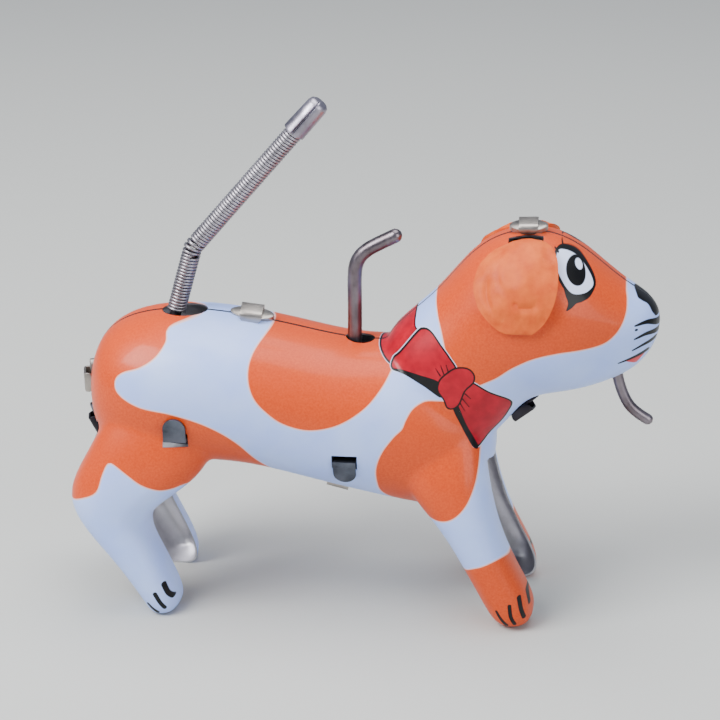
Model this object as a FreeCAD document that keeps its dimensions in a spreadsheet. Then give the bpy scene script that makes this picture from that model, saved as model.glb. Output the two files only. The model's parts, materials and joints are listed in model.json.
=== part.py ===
import FreeCAD, Part
import math
import os

import Sketcher
from FreeCAD import Placement, Rotation, Vector

# Wind-up tin dog.  +X points to the nose, +Z up, the floor is Z = 0 and the body seam lies in Y = 0.
# The right shell is on the -Y side.  Every length is in millimetres.

doc = FreeCAD.newDocument("TinDog")
sheet = doc.addObject("Spreadsheet::Sheet", "Sizes")

sizes = {
    # pressed tin body
    "tin": 0.4,              # sheet thickness
    "seamGap": 0.06,         # gap between the two half shells
    "legEdge": 9.0,          # inner edge of the leg channels, from the seam plane
    "floorLip": 1.2,         # height of the closed toe of each channel
    "lugLength": 8.6,
    "lugWide": 3.2,
    "lugRise": 1.3,
    "tabWide": 4.4,
    "tabSheet": 0.5,
    # openings in the body
    "tailSlotLength": 9.2,
    "tailSlotWide": 7.6,
    "backHole": 2.9,
    "keyHole": 2.3,
    "footSlotLong": 5.0,
    "footSlotHigh": 3.0,
    # motor frame
    "plateInside": 8.2,      # inner faces of the side plates, from the seam plane
    "plateSheet": 0.7,
    "footWide": 4.5,
    "pillarRadius": 1.2,
    "pivotRadius": 0.6,      # shaft ends that run in the plates
    "pivotBore": 0.65,
    # winding arbor and main wheel
    "arborX": -20.0,
    "arborZ": 43.0,
    "arborRadius": 1.25,
    "arborBore": 1.31,
    "arborInner": -9.3,
    "arborOuter": 24.5,
    "gearModule": 0.5,
    "mainTeeth": 36,
    "mainFace": 0.8,
    "mainSide": -6.3,        # Y of the main wheel's -Y face
    "ratchetTeeth": 9,
    "ratchetRadius": 3.2,
    "ratchetFace": 0.7,
    # winding key
    "keyStart": 18.4,
    "keyLobe": 4.7,
    "keyReach": 6.4,
    "keyEye": 1.9,
    "keySheet": 1.0,
    "keySleeve": 2.1,
    # mainspring
    "springInside": 1.9,
    "springPitch": 0.8,
    "springTurns": 7.0,
    "springSheet": 0.3,
    "springHalfWide": 3.6,
    # second wheel
    "secondTeeth": 12,
    "secondWheelTeeth": 30,
    "secondSide": 6.0,
    "wheelFace": 0.8,
    "pinionFace": 2.0,
    "shaftRadius": 0.8,
    # star wheel
    "starTeeth": 10,
    "starPoints": 6,
    "starTip": 4.5,
    "starRoot": 2.4,
    "starFace": 2.0,
    # tail
    "tailX": -40.2,
    "tailZ": 48.3,
    "tailLean": 15.4,
    "tailBend": 40.3,        # lean of the upper tail, degrees from upright
    "kinkReach": 26.3,       # from the tail pivot to the kink
    "kinkGap": 0.95,
    "rodRadius": 1.15,
    "coilInside": 1.22,
    "coilOutside": 1.95,
    "lowerCoilStart": 12.6,  # from the tail pivot along the rod
    "upperCoilLength": 32.3,
    "capRadius": 2.45,
    "capLength": 8.0,
    "pinRadius": 0.9,
    "hubBore": 0.85,         # running clearance on the 1.6 mm pins
    "hubRadius": 2.1,
    "leverSheet": 1.6,
    # back wire
    "stopX": -1.6,
    "stopZ": 46.5,
    "wireRadius": 1.45,
    "stopBend": 3.0,
    "stopSheet": 1.2,
    # chin wire
    "chinRadius": 1.1,
    "chinBend": 6.0,
    # vinyl ears
    "earStandoff": 0.25,
    "earSheet": 1.2,
}
for row, (word, value) in enumerate(sizes.items(), start=1):
    sheet.set(f"A{row}", word)
    sheet.set(f"B{row}", str(value))
    sheet.setAlias(f"B{row}", word)
doc.recompute()

finished = []                # the sub-parts, in the order they are made


def size(word):
    """A driving dimension, read back from the sheet."""
    return float(getattr(sheet, word))


def keep(obj, label):
    """Give a finished sub-part its own label."""
    obj.Label = label
    finished.append(obj)
    return obj


def flat(x, z, y=0.0):
    """A point of the side view."""
    return Vector(x, y, z)


# ---------------------------------------------------------------- document helpers

def cylinder(name, radius, length, base, direction=Vector(0, 1, 0)):
    """A cylinder whose radius and length are expressions on the sheet."""
    obj = doc.addObject("Part::Cylinder", name)
    obj.setExpression("Radius", radius)
    obj.setExpression("Height", length)
    obj.Placement = Placement(base, Rotation(Vector(0, 0, 1), direction))
    return obj


def joined(name, *pieces):
    obj = doc.addObject("Part::MultiFuse", name)
    obj.Shapes = list(pieces)
    return obj


def cut(name, base, tool):
    obj = doc.addObject("Part::Cut", name)
    obj.Base = base
    obj.Tool = tool
    return obj


def newBody(name):
    return doc.addObject("PartDesign::Body", name)


def sketchOn(body, role, name, offset=0.0):
    """A sketch on one of the body's own origin planes, moved along that plane's normal."""
    sketch = body.newObject("Sketcher::SketchObject", name)
    plane = next(o for o in body.Origin.OriginFeatures if o.Role == role)
    sketch.AttachmentSupport = [(plane, "")]
    sketch.MapMode = "FlatFace"
    sketch.AttachmentOffset = Placement(Vector(0, 0, offset), Rotation())
    return sketch


def addOutline(sketch, points):
    """A closed outline of straight lines."""
    ends = list(points[1:]) + [points[0]]
    lines = [
        Part.LineSegment(Vector(a[0], a[1], 0), Vector(b[0], b[1], 0))
        for a, b in zip(points, ends)
    ]
    sketch.addGeometry(lines, False)


def addHole(sketch, x, z, word):
    """A circle whose radius follows the sheet."""
    geo = sketch.addGeometry(Part.Circle(Vector(x, z, 0), Vector(0, 0, 1), size(word)), False)
    rule = sketch.addConstraint(Sketcher.Constraint("Radius", geo, size(word)))
    sketch.renameConstraint(rule, f"hole{geo}")
    sketch.setExpression(f"Constraints.hole{geo}", f"Sizes.{word}")


def pad(body, sketch, name, length, midplane=False, reverse=False):
    """Pad a sketch by an expression on the sheet."""
    feature = body.newObject("PartDesign::Pad", name)
    feature.Profile = sketch
    feature.setExpression("Length", length)
    feature.Midplane = midplane
    feature.Reversed = reverse
    body.Tip = feature
    return feature


# ---------------------------------------------------------------- lofted sheet-metal shapes

fullness = 2.2               # exponent of the body's cross-sections, 2 is an ellipse
legFullness = 2.6


def ringPoint(middle, up, high, wide, angle, power):
    c, s = math.cos(angle), math.sin(angle)
    rise = math.copysign(abs(c) ** (2 / power), c) * high
    out = math.copysign(abs(s) ** (2 / power), s) * wide
    return middle + up * rise + Vector(0, out, 0)


def insets(stations, inset, shifted=True):
    """Sections pulled in by the inset, square to the skin they belong to."""
    result = []
    for i, (top, low, wide) in enumerate(stations):
        before = stations[max(i - 1, 0)]
        after = stations[min(i + 1, len(stations) - 1)]
        along = ((after[0] + after[1]) - (before[0] + before[1])) * 0.5
        grow = ((after[0] - after[1]).Length - (before[0] - before[1]).Length) * 0.5
        slope = math.atan2(grow, along.Length)
        slope = slope if shifted else 0.0
        shift = Vector(along).normalize() * (inset * math.sin(slope))
        half = (top - low) * 0.5
        pull = Vector(half).normalize() * (inset * math.cos(slope))
        result.append((top - pull + shift, low + pull + shift, wide - inset * math.cos(slope)))
    return result


def halfLoft(stations, edge, inset=0.0, overrun=0, power=2.2, shifted=True):
    """A loft of D-shaped sections, flat on the plane Y = -edge and bulging to -Y.

    An overrun in degrees carries each section past its flat side.
    """
    wires = []
    step = (180 + 2 * overrun) / 9
    for top, low, wide in insets(stations, inset, shifted):
        middle, half = (top + low) * 0.5, (top - low) * 0.5
        middle = Vector(middle.x, -edge, middle.z)
        up = Vector(half).normalize()
        arc = [
            ringPoint(middle, up, half.Length, edge - wide, math.radians(i * step - overrun), power)
            for i in range(10)
        ]
        curve = Part.BSplineCurve()
        curve.interpolate(arc)
        wires.append(Part.Wire([curve.toShape(), Part.makeLine(arc[-1], arc[0])]))
    return Part.makeLoft(wires, True, False)


# Torso sections from rump to chest: (X, top Z, bottom Z, half width).
torsoStations = [
    (flat(x, top), flat(x, low), wide)
    for x, top, low, wide in (
        (-54.0, 48.6, 41.8, 4.0),
        (-53.0, 53.0, 36.0, 8.6),
        (-50.2, 56.6, 32.4, 12.2),
        (-44.5, 59.9, 30.6, 15.2),
        (-34.0, 61.2, 30.4, 16.8),
        (-22.0, 59.8, 30.4, 17.0),
        (-11.0, 57.6, 27.6, 16.8),
        (0.0, 55.2, 25.0, 16.4),
        (10.0, 54.0, 22.6, 15.8),
        (19.0, 52.0, 21.5, 14.6),
        (25.5, 47.0, 24.5, 11.5),
        (28.6, 40.5, 31.0, 5.5),
    )
]
# Neck and head: (back X, Z), (throat X, Z), half width.
headStations = [
    (flat(*back), flat(*throat), wide)
    for back, throat, wide in (
        ((8.0, 50.5), (20.0, 31.0), 11.8),
        ((10.0, 58.9), (27.6, 37.2), 13.4),
        ((15.6, 66.2), (31.2, 42.8), 13.6),
        ((20.6, 73.2), (34.4, 46.0), 14.2),
        ((26.6, 78.4), (38.2, 46.9), 15.0),
        ((34.5, 79.9), (42.2, 47.6), 15.2),
        ((41.6, 77.9), (46.4, 48.7), 13.8),
        ((47.2, 73.4), (50.6, 50.4), 11.4),
        ((52.4, 69.1), (54.2, 52.3), 9.2),
        ((56.9, 66.7), (57.2, 55.6), 6.6),
        ((59.2, 63.9), (59.3, 59.6), 2.8),
    )
]
# Legs, as channels seen from the side: (rear X, Z), (front X, Z), how far out the channel bulges.
rearLegStations = [
    (flat(*rear), flat(*front), wide)
    for rear, front, wide in (
        ((-46.0, 47.0), (-31.0, 44.5), 12.0),
        ((-51.0, 39.0), (-27.5, 37.0), 16.2),
        ((-54.8, 31.0), (-30.5, 29.0), 17.6),
        ((-57.4, 24.6), (-42.0, 22.0), 17.5),
        ((-54.2, 18.6), (-41.8, 17.6), 17.3),
        ((-48.6, 11.2), (-38.8, 11.2), 17.0),
        ((-43.2, 3.2), (-35.7, 3.6), 16.6),
        ((-40.9, 0.0), (-36.6, 0.0), 14.6),
    )
]
frontLegStations = [
    (flat(*rear), flat(*front), wide)
    for rear, front, wide in (
        ((10.0, 42.0), (23.0, 44.0), 11.6),
        ((9.0, 35.0), (26.6, 37.5), 15.0),
        ((11.0, 29.0), (28.8, 31.0), 17.0),
        ((15.6, 22.8), (30.4, 24.0), 17.4),
        ((19.5, 17.3), (32.4, 17.2), 17.3),
        ((23.9, 11.3), (34.8, 11.2), 17.0),
        ((27.5, 5.6), (36.7, 5.6), 16.8),
        ((29.2, 2.0), (36.0, 2.3), 16.2),
        ((30.3, 0.0), (34.6, 0.0), 14.6),
    )
]
legChannels = (rearLegStations, frontLegStations)


def raised(stations, rise):
    """The same leg with its toe section lifted, for the inside of a closed toe."""
    top, low, wide = stations[-1]
    lift = Vector(0, 0, rise)
    return stations[:-1] + [(top + lift, low + lift, wide)]


# Where the two shells are held together: (X, Z, slope of the seam there in degrees).
seamJoints = (
    (-21.6, 59.9, -6.0),     # back
    (33.2, 80.0, 2.0),       # top of the head
    (33.2, 45.1, 212.0),     # throat
    (-54.1, 45.4, 92.0),     # rump
    (-4.0, 25.8, 166.0),     # belly
)


def seamLens(x, z, slope, side):
    """Half of the lens-shaped lug pressed along the seam, on the given side."""
    long, rise, wide = size("lugLength"), size("lugRise"), size("lugWide")
    radius = (long * long / 4 + rise * rise) / (2 * rise)
    lens = Part.makeCylinder(radius, wide / 2, Vector(0, 0, rise - radius), Vector(0, 1, 0))
    keepBox = Part.makeBox(long, wide, rise + 1.0, Vector(-long / 2, 0, -1.0))
    lens = lens.common(keepBox)
    if side < 0:
        lens = lens.mirror(Vector(0, 0, 0), Vector(0, 1, 0))
    turn = Rotation(Vector(0, 1, 0), -slope)
    lens.Placement = Placement(Vector(x, side * size("seamGap") / 2, z), turn)
    return lens


def seamTab(x, z, slope):
    """The left shell's tab, folded over the lug on to the right shell."""
    wide, sheetThick = size("tabWide"), size("tabSheet")
    reach, rise = size("lugWide") / 2 + 1.1, size("lugRise") + 0.05
    back = Part.makeBox(wide, 1.2, sheetThick, Vector(-wide / 2, -0.02, rise))
    fold = Part.makeBox(wide, reach, sheetThick, Vector(-wide / 2, -reach, rise))
    stem = Part.makeBox(wide, 0.5, rise, Vector(-wide / 2, 0.68, 0.0))
    tab = back.fuse([fold, stem])
    tab.Placement = Placement(Vector(x, 0, z), Rotation(Vector(0, 1, 0), -slope))
    return tab


def footSlot(x, z):
    long, high = size("footSlotLong"), size("footSlotHigh")
    return Part.makeBox(long, 10.0, high, Vector(x - long / 2, -21.0, z - high / 2))


# The motor frame's feet: (X, Z of the slot, direction in which the foot is folded).
frameFeet = ((-35.1, 38.8, 1.0), (-1.6, 35.4, -1.0))


def legMouth(leg):
    """The open side of a leg channel, as a prism that runs past the seam."""
    inset = size("tin") + 0.15
    edge = size("legEdge") + size("tin") + 0.3
    sections = insets(raised(leg, size("floorLip")), inset, False)
    rear = [Vector(top.x, -edge, top.z) for top, low, wide in sections]
    front = [Vector(low.x, -edge, low.z) for top, low, wide in sections]
    rearCurve, frontCurve = Part.BSplineCurve(), Part.BSplineCurve()
    rearCurve.interpolate(rear)
    frontCurve.interpolate(front)
    rim = [rearCurve.toShape(), Part.makeLine(rear[-1], front[-1]), frontCurve.toShape(),
           Part.makeLine(front[0], rear[0])]
    return Part.Face(Part.Wire(Part.__sortEdges__(rim))).extrude(Vector(0, edge + 3.0, 0))


def shellHalf(holes):
    """The right half shell: torso, head and two channel legs pressed from one sheet."""
    tin, edge, over = size("tin"), size("legEdge"), 10
    torso, head = halfLoft(torsoStations, 0), halfLoft(headStations, 0)
    shell = torso.fuse(head)
    for leg in legChannels:
        shell = shell.fuse(halfLoft(leg, edge, power=legFullness))
    # Holes are punched as blind pockets that reach past the wall.
    for hole in holes:
        shell = shell.cut(hole)
    # The order matters: the torso is hollowed first, so that each later cut opens into it.
    shell = shell.cut(halfLoft(torsoStations, 0, tin, over))
    shell = shell.cut(halfLoft(headStations, 0, tin, over))
    for leg in legChannels:
        shell = shell.cut(
            halfLoft(raised(leg, tin), edge + tin, tin, power=legFullness, shifted=False)
        )
    # Between the legs of a pair the sheet is left open, from the seam to the inside of each channel.
    for leg in legChannels:
        shell = shell.cut(legMouth(leg))
    return shell


def openings():
    """What is cut from both shells."""
    long, wide = size("tailSlotLength"), size("tailSlotWide")
    lens = Part.makeCylinder(
        (long * long + wide * wide) / (4 * wide), 20, Vector(0, 0, -10), Vector(0, 0, 1)
    )
    shift = (long * long + wide * wide) / (4 * wide) - wide / 2
    left, right = lens.copy(), lens.copy()
    left.translate(Vector(0, shift, 0))
    right.translate(Vector(0, -shift, 0))
    tailSlot = left.common(right)
    tailSlot.translate(Vector(-35.1, 0, 62.0))
    backHole = Part.makeCylinder(size("backHole"), 12, Vector(0.1, 0, 51), Vector(0, 0, 1))
    chinSlot = Part.makeBox(5.2, 4.4, 8.0, Vector(49.2, -1.4, 46.0))
    return [tailSlot, backHole, chinSlot]


def oneSolid(shape):
    """The largest solid of a boolean's result."""
    return max(shape.Solids, key=lambda s: s.Volume)


mirrorSeam = (Vector(0, 0, 0), Vector(0, 1, 0))
holes = openings() + [footSlot(x, z) for x, z, fold in frameFeet]
keyHole = Part.makeCylinder(
    size("keyHole"), 12, Vector(size("arborX"), -10, size("arborZ")), Vector(0, -1, 0)
)
rightShape = oneSolid(shellHalf(holes))
leftShape = oneSolid(shellHalf(holes + [keyHole])).mirror(*mirrorSeam)
for x, z, slope in seamJoints:
    rightShape = rightShape.fuse(seamLens(x, z, slope, -1))
    leftShape = leftShape.fuse(seamLens(x, z, slope, 1)).fuse(seamTab(x, z, slope))
for label, shape in (("right_shell", rightShape), ("left_shell", leftShape)):
    shell = doc.addObject("Part::Feature", label)
    shell.Shape = oneSolid(shape)
    keep(shell, label)

# ---------------------------------------------------------------- ears


def ear(side):
    """A soft flap that follows the side of the head, held by a tab through the slot above it."""
    outline = (
        (29.6, 80.8), (35.4, 80.6), (38.4, 77.4), (39.2, 72.6), (38.2, 67.0), (34.6, 63.4),
        (30.0, 62.2), (26.0, 63.6), (23.4, 67.6), (22.6, 73.0), (24.6, 78.2),
    )
    curve = Part.BSplineCurve()
    curve.interpolate([flat(x, z) for x, z in outline], PeriodicFlag=True)
    blank = Part.Face(Part.Wire([curve.toShape()])).extrude(Vector(0, -30, 0))
    off, thick = size("earStandoff"), size("earSheet")
    outer = halfLoft(headStations[2:8], 0, -(off + thick))
    inner = halfLoft(headStations[1:9], 0, -off, 10)
    flap = oneSolid(blank.common(outer).cut(inner))
    away = Part.makeBox(60, 30, 60, Vector(0, -3.4, 40))
    flap = oneSolid(flap.cut(away))
    if side > 0:
        flap = flap.mirror(Vector(0, 0, 0), Vector(0, 1, 0))
    return flap


for side, label in ((-1, "right_ear"), (1, "left_ear")):
    vinyl = doc.addObject("Part::Feature", label)
    vinyl.Shape = ear(side)
    keep(vinyl, label)

# ---------------------------------------------------------------- motor frame

arbor = flat(size("arborX"), size("arborZ"))
second = flat(-29.305, 50.578)
star = flat(-33.5, 41.5)
tailPivot = flat(size("tailX"), size("tailZ"))
stopPivot = flat(size("stopX"), size("stopZ"))
pillars = (flat(-41.0, 39.0), flat(-30.5, 36.3), flat(-12.4, 51.6), flat(-1.4, 37.6))


def outerSkin(x, z):
    """How far the torso's skin is from the seam plane at a point of the side view."""
    for (t0, l0, w0), (t1, l1, w1) in zip(torsoStations, torsoStations[1:]):
        if t0.x <= x <= t1.x:
            share = (x - t0.x) / (t1.x - t0.x)
            top, low = t0.z + share * (t1.z - t0.z), l0.z + share * (l1.z - l0.z)
            wide = w0 + share * (w1 - w0)
            rise = abs(z - (top + low) / 2) / ((top - low) / 2)
            return wide * (1 - rise ** fullness) ** (1 / fullness)
    return 0.0


def footProfile(x, z, fold):
    """Outline, in Y and Z, of a foot that passes through its slot and folds along the skin."""
    sheetThick = size("plateSheet")
    start = size("plateInside") + sheetThick
    tipZ = z + fold * 5.0
    stand = 0.35
    near, far = outerSkin(x, z) + stand, outerSkin(x, tipZ) + stand
    low, high = z - fold * sheetThick / 2, z + fold * sheetThick / 2
    return [
        (-start, low), (-near - sheetThick, low), (-far - sheetThick, tipZ), (-far, tipZ),
        (-near, high), (-start, high),
    ]


def sidePlate(label, side):
    """A motor side plate, pressed from sheet, with its two folded feet."""
    body = newBody(label)
    inside, sheetThick = size("plateInside"), size("plateSheet")
    offset = inside if side < 0 else -(inside + sheetThick)
    outline = sketchOn(body, "XZ_Plane", label + "Outline", offset)
    addOutline(outline, [
        (-43.2, 40.0), (-42.4, 37.2), (-39.0, 35.4), (-24.0, 34.2), (-8.0, 33.2), (2.0, 33.8),
        (2.6, 47.0), (-1.0, 50.4), (-12.0, 54.0), (-20.0, 55.4), (-34.0, 55.6), (-43.2, 52.6),
    ])
    pad(body, outline, label + "Sheet", "Sizes.plateSheet")
    doc.recompute()
    bores = sketchOn(body, "XZ_Plane", label + "Bores", offset)
    addHole(bores, arbor.x, arbor.z, "arborBore")
    for point in (second, star, tailPivot, stopPivot):
        addHole(bores, point.x, point.z, "pivotBore")
    pocket = body.newObject("PartDesign::Pocket", label + "Holes")
    pocket.Profile = bores
    pocket.Type = "ThroughAll"
    pocket.Midplane = True
    body.Tip = pocket
    for number, (x, z, fold) in enumerate(frameFeet):
        profile = sketchOn(body, "YZ_Plane", f"{label}Foot{number}", x)
        points = footProfile(x, z, fold)
        addOutline(profile, [(side * -y, height) for y, height in points])
        pad(body, profile, f"{label}Fold{number}", "Sizes.footWide", midplane=True)
    doc.recompute()
    return keep(body, label)


sidePlate("right_plate", -1)
sidePlate("left_plate", 1)

posts = [
    cylinder(f"Post{i}", "Sizes.pillarRadius", "2 * Sizes.plateInside",
             Vector(p.x, -size("plateInside"), p.z))
    for i, p in enumerate(pillars)
]
keep(joined("Pillars", *posts), "frame_pillars")

# ---------------------------------------------------------------- wheels


def toothOutline(teeth, shift=0.0):
    """Points round a spur wheel; shift turns it by a share of one tooth."""
    module = size("gearModule")
    pitch = module * teeth / 2
    root, tip = pitch - 1.2 * module, pitch + 0.8 * module
    step = 2 * math.pi / teeth
    points = []
    for i in range(teeth):
        middle = (i + shift) * step
        for radius, share in ((root, -0.33), (pitch, -0.21), (tip, -0.09),
                              (tip, 0.09), (pitch, 0.21), (root, 0.33)):
            angle = middle + share * step
            points.append((radius * math.cos(angle), radius * math.sin(angle)))
    return points


def wheel(label, centre, points, offset, face, bore):
    """A flat wheel cut from sheet or bar: an outline about a centre, with a bore."""
    body = newBody(label)
    drawing = sketchOn(body, "XZ_Plane", label + "Teeth", -offset)
    addOutline(drawing, [(centre.x + x, centre.z + z) for x, z in points])
    addHole(drawing, centre.x, centre.z, bore)
    pad(body, drawing, label + "Face", face, reverse=True)
    return keep(body, label)


def meshShift(centre, other, teeth, gap):
    """Share of a tooth that puts a tooth (gap False) or a space (gap True) towards other."""
    angle = math.atan2(other.z - centre.z, other.x - centre.x)
    share = angle / (2 * math.pi / teeth)
    return share + (0.5 if gap else 0.0)


mainTeeth, secondTeeth = int(size("mainTeeth")), int(size("secondTeeth"))
secondWheelTeeth, starTeeth = int(size("secondWheelTeeth")), int(size("starTeeth"))

# Second wheel and star wheel stand where their pitch circles touch.
wheel("main_gear", arbor, toothOutline(mainTeeth, meshShift(arbor, second, mainTeeth, False)),
      size("mainSide"), "Sizes.mainFace", "arborRadius")
wheel("second_pinion", second, toothOutline(secondTeeth, meshShift(second, arbor, secondTeeth, True)),
      size("mainSide") - 0.6, "Sizes.pinionFace", "shaftRadius")
wheel("second_gear", second,
      toothOutline(secondWheelTeeth, meshShift(second, star, secondWheelTeeth, False)),
      size("secondSide"), "Sizes.wheelFace", "shaftRadius")
wheel("star_pinion", star, toothOutline(starTeeth, meshShift(star, second, starTeeth, True)),
      size("secondSide") - 0.6, "Sizes.pinionFace", "shaftRadius")

starPoints = int(size("starPoints"))
starOutline = []
for i in range(2 * starPoints):
    radius = size("starTip") if i % 2 == 0 else size("starRoot")
    middle = math.pi * i / starPoints
    spread = 0.09 if i % 2 == 0 else 0.2
    for angle in (middle - spread, middle + spread):
        starOutline.append((radius * math.cos(angle), radius * math.sin(angle)))
wheel("star_wheel", star, starOutline, -size("starFace") / 2, "Sizes.starFace", "shaftRadius")

ratchetOutline = []
for i in range(int(size("ratchetTeeth"))):
    start = 2 * math.pi * i / int(size("ratchetTeeth"))
    for radius, turn in ((size("ratchetRadius") * 0.78, 0.0), (size("ratchetRadius"), 0.62)):
        ratchetOutline.append((radius * math.cos(start + turn), radius * math.sin(start + turn)))
wheel("ratchet_wheel", arbor, ratchetOutline, size("mainSide") + size("mainFace"),
      "Sizes.ratchetFace", "arborRadius")
wheel("click", Vector(arbor.x + 5.6, 0, arbor.z),
      ((1.4, -1.2), (1.5, 1.0), (0.0, 1.5), (-2.4, 3.0), (-3.0, 2.3), (-1.4, 0.4), (-1.3, -1.0)),
      size("mainSide") + size("mainFace"), "Sizes.ratchetFace", "pivotRadius")


def shaft(label, centre):
    """A plain arbor with thinner ends that run in the side plates."""
    inside = size("plateInside") - 0.1
    ends = size("plateInside") + size("plateSheet") - 0.05
    thick = cylinder(label + "Thick", "Sizes.shaftRadius", "2 * (Sizes.plateInside - 0.1)",
                     Vector(centre.x, -inside, centre.z))
    thin = cylinder(label + "Ends", "Sizes.pivotRadius",
                    "2 * (Sizes.plateInside + Sizes.plateSheet - 0.05)",
                    Vector(centre.x, -ends, centre.z))
    return keep(joined(label + "Turned", thick, thin), label)


shaft("second_arbor", second)
shaft("star_arbor", star)
shaft("stop_pin", stopPivot)
shaft("tail_pin", tailPivot)

# ---------------------------------------------------------------- winding arbor, key, mainspring

keep(cylinder("WindingArbor", "Sizes.arborRadius", "Sizes.arborOuter - Sizes.arborInner",
              Vector(arbor.x, size("arborInner"), arbor.z)), "winding_arbor")

up = Vector(0, 0, 1)
keyMiddle = Vector(arbor.x, size("keyStart") + size("keyLobe") + 3.2, arbor.z - size("keySheet") / 2)
lobes, eyes = [], []
for number, way in enumerate((-1, 1)):
    centre = keyMiddle + Vector(way * size("keyReach"), 0, 0)
    lobes.append(cylinder(f"KeyLobe{number}", "Sizes.keyLobe", "Sizes.keySheet", centre, up))
    eyes.append(cylinder(f"KeyEye{number}", "Sizes.keyEye", "Sizes.keySheet + 2",
                         centre - Vector(0, 0, 1), up))
web = doc.addObject("Part::Box", "KeyWeb")
web.setExpression("Length", "2 * Sizes.keyReach")
web.setExpression("Width", "Sizes.keyLobe")
web.setExpression("Height", "Sizes.keySheet")
web.Placement = Placement(keyMiddle - Vector(size("keyReach"), size("keyLobe") / 2, 0), Rotation())
sleeve = cylinder("KeySleeve", "Sizes.keySleeve", "Sizes.keyLobe + 4.2",
                  Vector(arbor.x, size("keyStart"), arbor.z))
socket = cylinder("KeySocket", "Sizes.arborRadius", "Sizes.arborOuter - Sizes.keyStart + 1",
                  Vector(arbor.x, size("keyStart") - 1, arbor.z))
keyBlank = joined("KeyBlank", web, sleeve, *lobes)
keep(cut("Key", keyBlank, joined("KeyCuts", socket, *eyes)), "winding_key")


def spiral():
    """The mainspring: a flat ribbon coiled round the arbor."""
    inside, pitch, thick = size("springInside"), size("springPitch"), size("springSheet")
    turns, halfWide = size("springTurns"), size("springHalfWide")
    steps = int(turns * 12)

    def edge(extra):
        points = []
        for i in range(steps + 1):
            angle = 2 * math.pi * turns * i / steps
            radius = inside + extra + pitch * angle / (2 * math.pi)
            points.append(Vector(arbor.x + radius * math.cos(angle), -halfWide,
                                 arbor.z + radius * math.sin(angle)))
        curve = Part.BSplineCurve()
        curve.interpolate(points)
        return points, curve.toShape()

    insidePoints, insideEdge = edge(0.0)
    outsidePoints, outsideEdge = edge(thick)
    rim = [insideEdge, Part.makeLine(insidePoints[-1], outsidePoints[-1]), outsideEdge,
           Part.makeLine(outsidePoints[0], insidePoints[0])]
    return Part.Face(Part.Wire(rim)).extrude(Vector(0, 2 * halfWide, 0))


mainspring = doc.addObject("Part::Feature", "mainspring")
mainspring.Shape = spiral()
keep(mainspring, "mainspring")

# The spring's outer end is hooked on a short post riveted to the left plate.
keep(cylinder("SpringPost", "Sizes.pinRadius", "Sizes.plateInside + Sizes.springHalfWide",
              Vector(arbor.x + 8.9, -size("springHalfWide"), arbor.z)), "spring_post")

# ---------------------------------------------------------------- tail


def leaning(degrees):
    """A direction that leans forward from upright."""
    lean = math.radians(degrees)
    return Vector(math.sin(lean), 0, math.cos(lean))


rodWay, coilWay = leaning(size("tailLean")), leaning(size("tailBend"))
kink = tailPivot + rodWay * size("kinkReach")
rodStart = size("hubRadius") + 0.1


def ring(name, outside, inside, length, base, direction):
    """A plain tube with expressions for its size."""
    wall = cylinder(name + "Wall", outside, length, base, direction)
    bore = cylinder(name + "Bore", inside, f"({length}) + 2", base - direction, direction)
    return cut(name, wall, bore)


keep(cylinder("TailRod", "Sizes.rodRadius", f"Sizes.kinkReach - {rodStart} - 0.8",
              tailPivot + rodWay * rodStart, rodWay), "tail_rod")
keep(ring("LowerCoil", "Sizes.coilOutside", "Sizes.coilInside",
          "Sizes.kinkReach - Sizes.kinkGap - Sizes.lowerCoilStart",
          tailPivot + rodWay * size("lowerCoilStart"), rodWay), "lower_tail_spring")
keep(ring("UpperCoil", "Sizes.coilOutside", "Sizes.coilInside",
          "Sizes.upperCoilLength - Sizes.kinkGap", kink + coilWay * size("kinkGap"), coilWay),
     "upper_tail_spring")
capStart = size("upperCoilLength") - 0.6
capWall = cylinder("CapWall", "Sizes.capRadius", "Sizes.capLength", kink + coilWay * capStart, coilWay)
capBore = cylinder("CapBore", "Sizes.coilOutside", "1.6", kink + coilWay * (capStart - 1), coilWay)
keep(cut("Cap", capWall, capBore), "tail_cap")


def leverBody():
    """The tail lever's blank: hub, follower arm down to the star wheel, and the rod's clip."""
    body = newBody("LeverBlank")
    hub = sketchOn(body, "XZ_Plane", "LeverHub")
    addHole(hub, tailPivot.x, tailPivot.z, "hubRadius")
    pad(body, hub, "LeverHubPad", "4.4", midplane=True)
    arm = sketchOn(body, "XZ_Plane", "LeverArm")
    addOutline(arm, [(tailPivot.x + x, tailPivot.z + z) for x, z in (
        (-1.3, -1.0), (-0.6, -7.6), (0.9, -7.8), (1.85, -6.9), (1.3, -1.0))])
    pad(body, arm, "LeverArmPad", "Sizes.leverSheet", midplane=True)
    clip = sketchOn(body, "XZ_Plane", "LeverClip")
    side = Vector(rodWay.z, 0, -rodWay.x) * 1.9
    low, high = tailPivot + rodWay * 1.0, tailPivot + rodWay * 7.0
    corners = (low - side, low + side, high + side, high - side)
    addOutline(clip, [(p.x, p.z) for p in corners])
    pad(body, clip, "LeverClipPad", "3.8", midplane=True)
    return body


leverCuts = joined(
    "LeverCuts",
    cylinder("LeverPinBore", "Sizes.hubBore", "12", tailPivot - Vector(0, 6, 0)),
    cylinder("LeverRodBore", "Sizes.rodRadius", "20", tailPivot + rodWay * rodStart, rodWay),
)
keep(cut("Lever", leverBody(), leverCuts), "tail_lever")


def helix(label, radius, wire, pitch, length, base):
    """A round-wire coil along Y."""
    path = Part.makeHelix(pitch, length, radius)
    profile = Part.Wire([Part.makeCircle(wire, Vector(radius, 0, 0), Vector(0, 1, 0))])
    coil = Part.Wire(path.Edges).makePipeShell([profile], True, True)
    obj = doc.addObject("Part::Feature", label)
    obj.Shape = coil
    obj.Placement = Placement(base, Rotation(Vector(0, 0, 1), Vector(0, 1, 0)))
    return keep(obj, label)


helix("tail_return_spring", 1.55, 0.2, 0.5, 3.6, tailPivot + Vector(0, 2.6, 0))

# ---------------------------------------------------------------- bent wires


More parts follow.
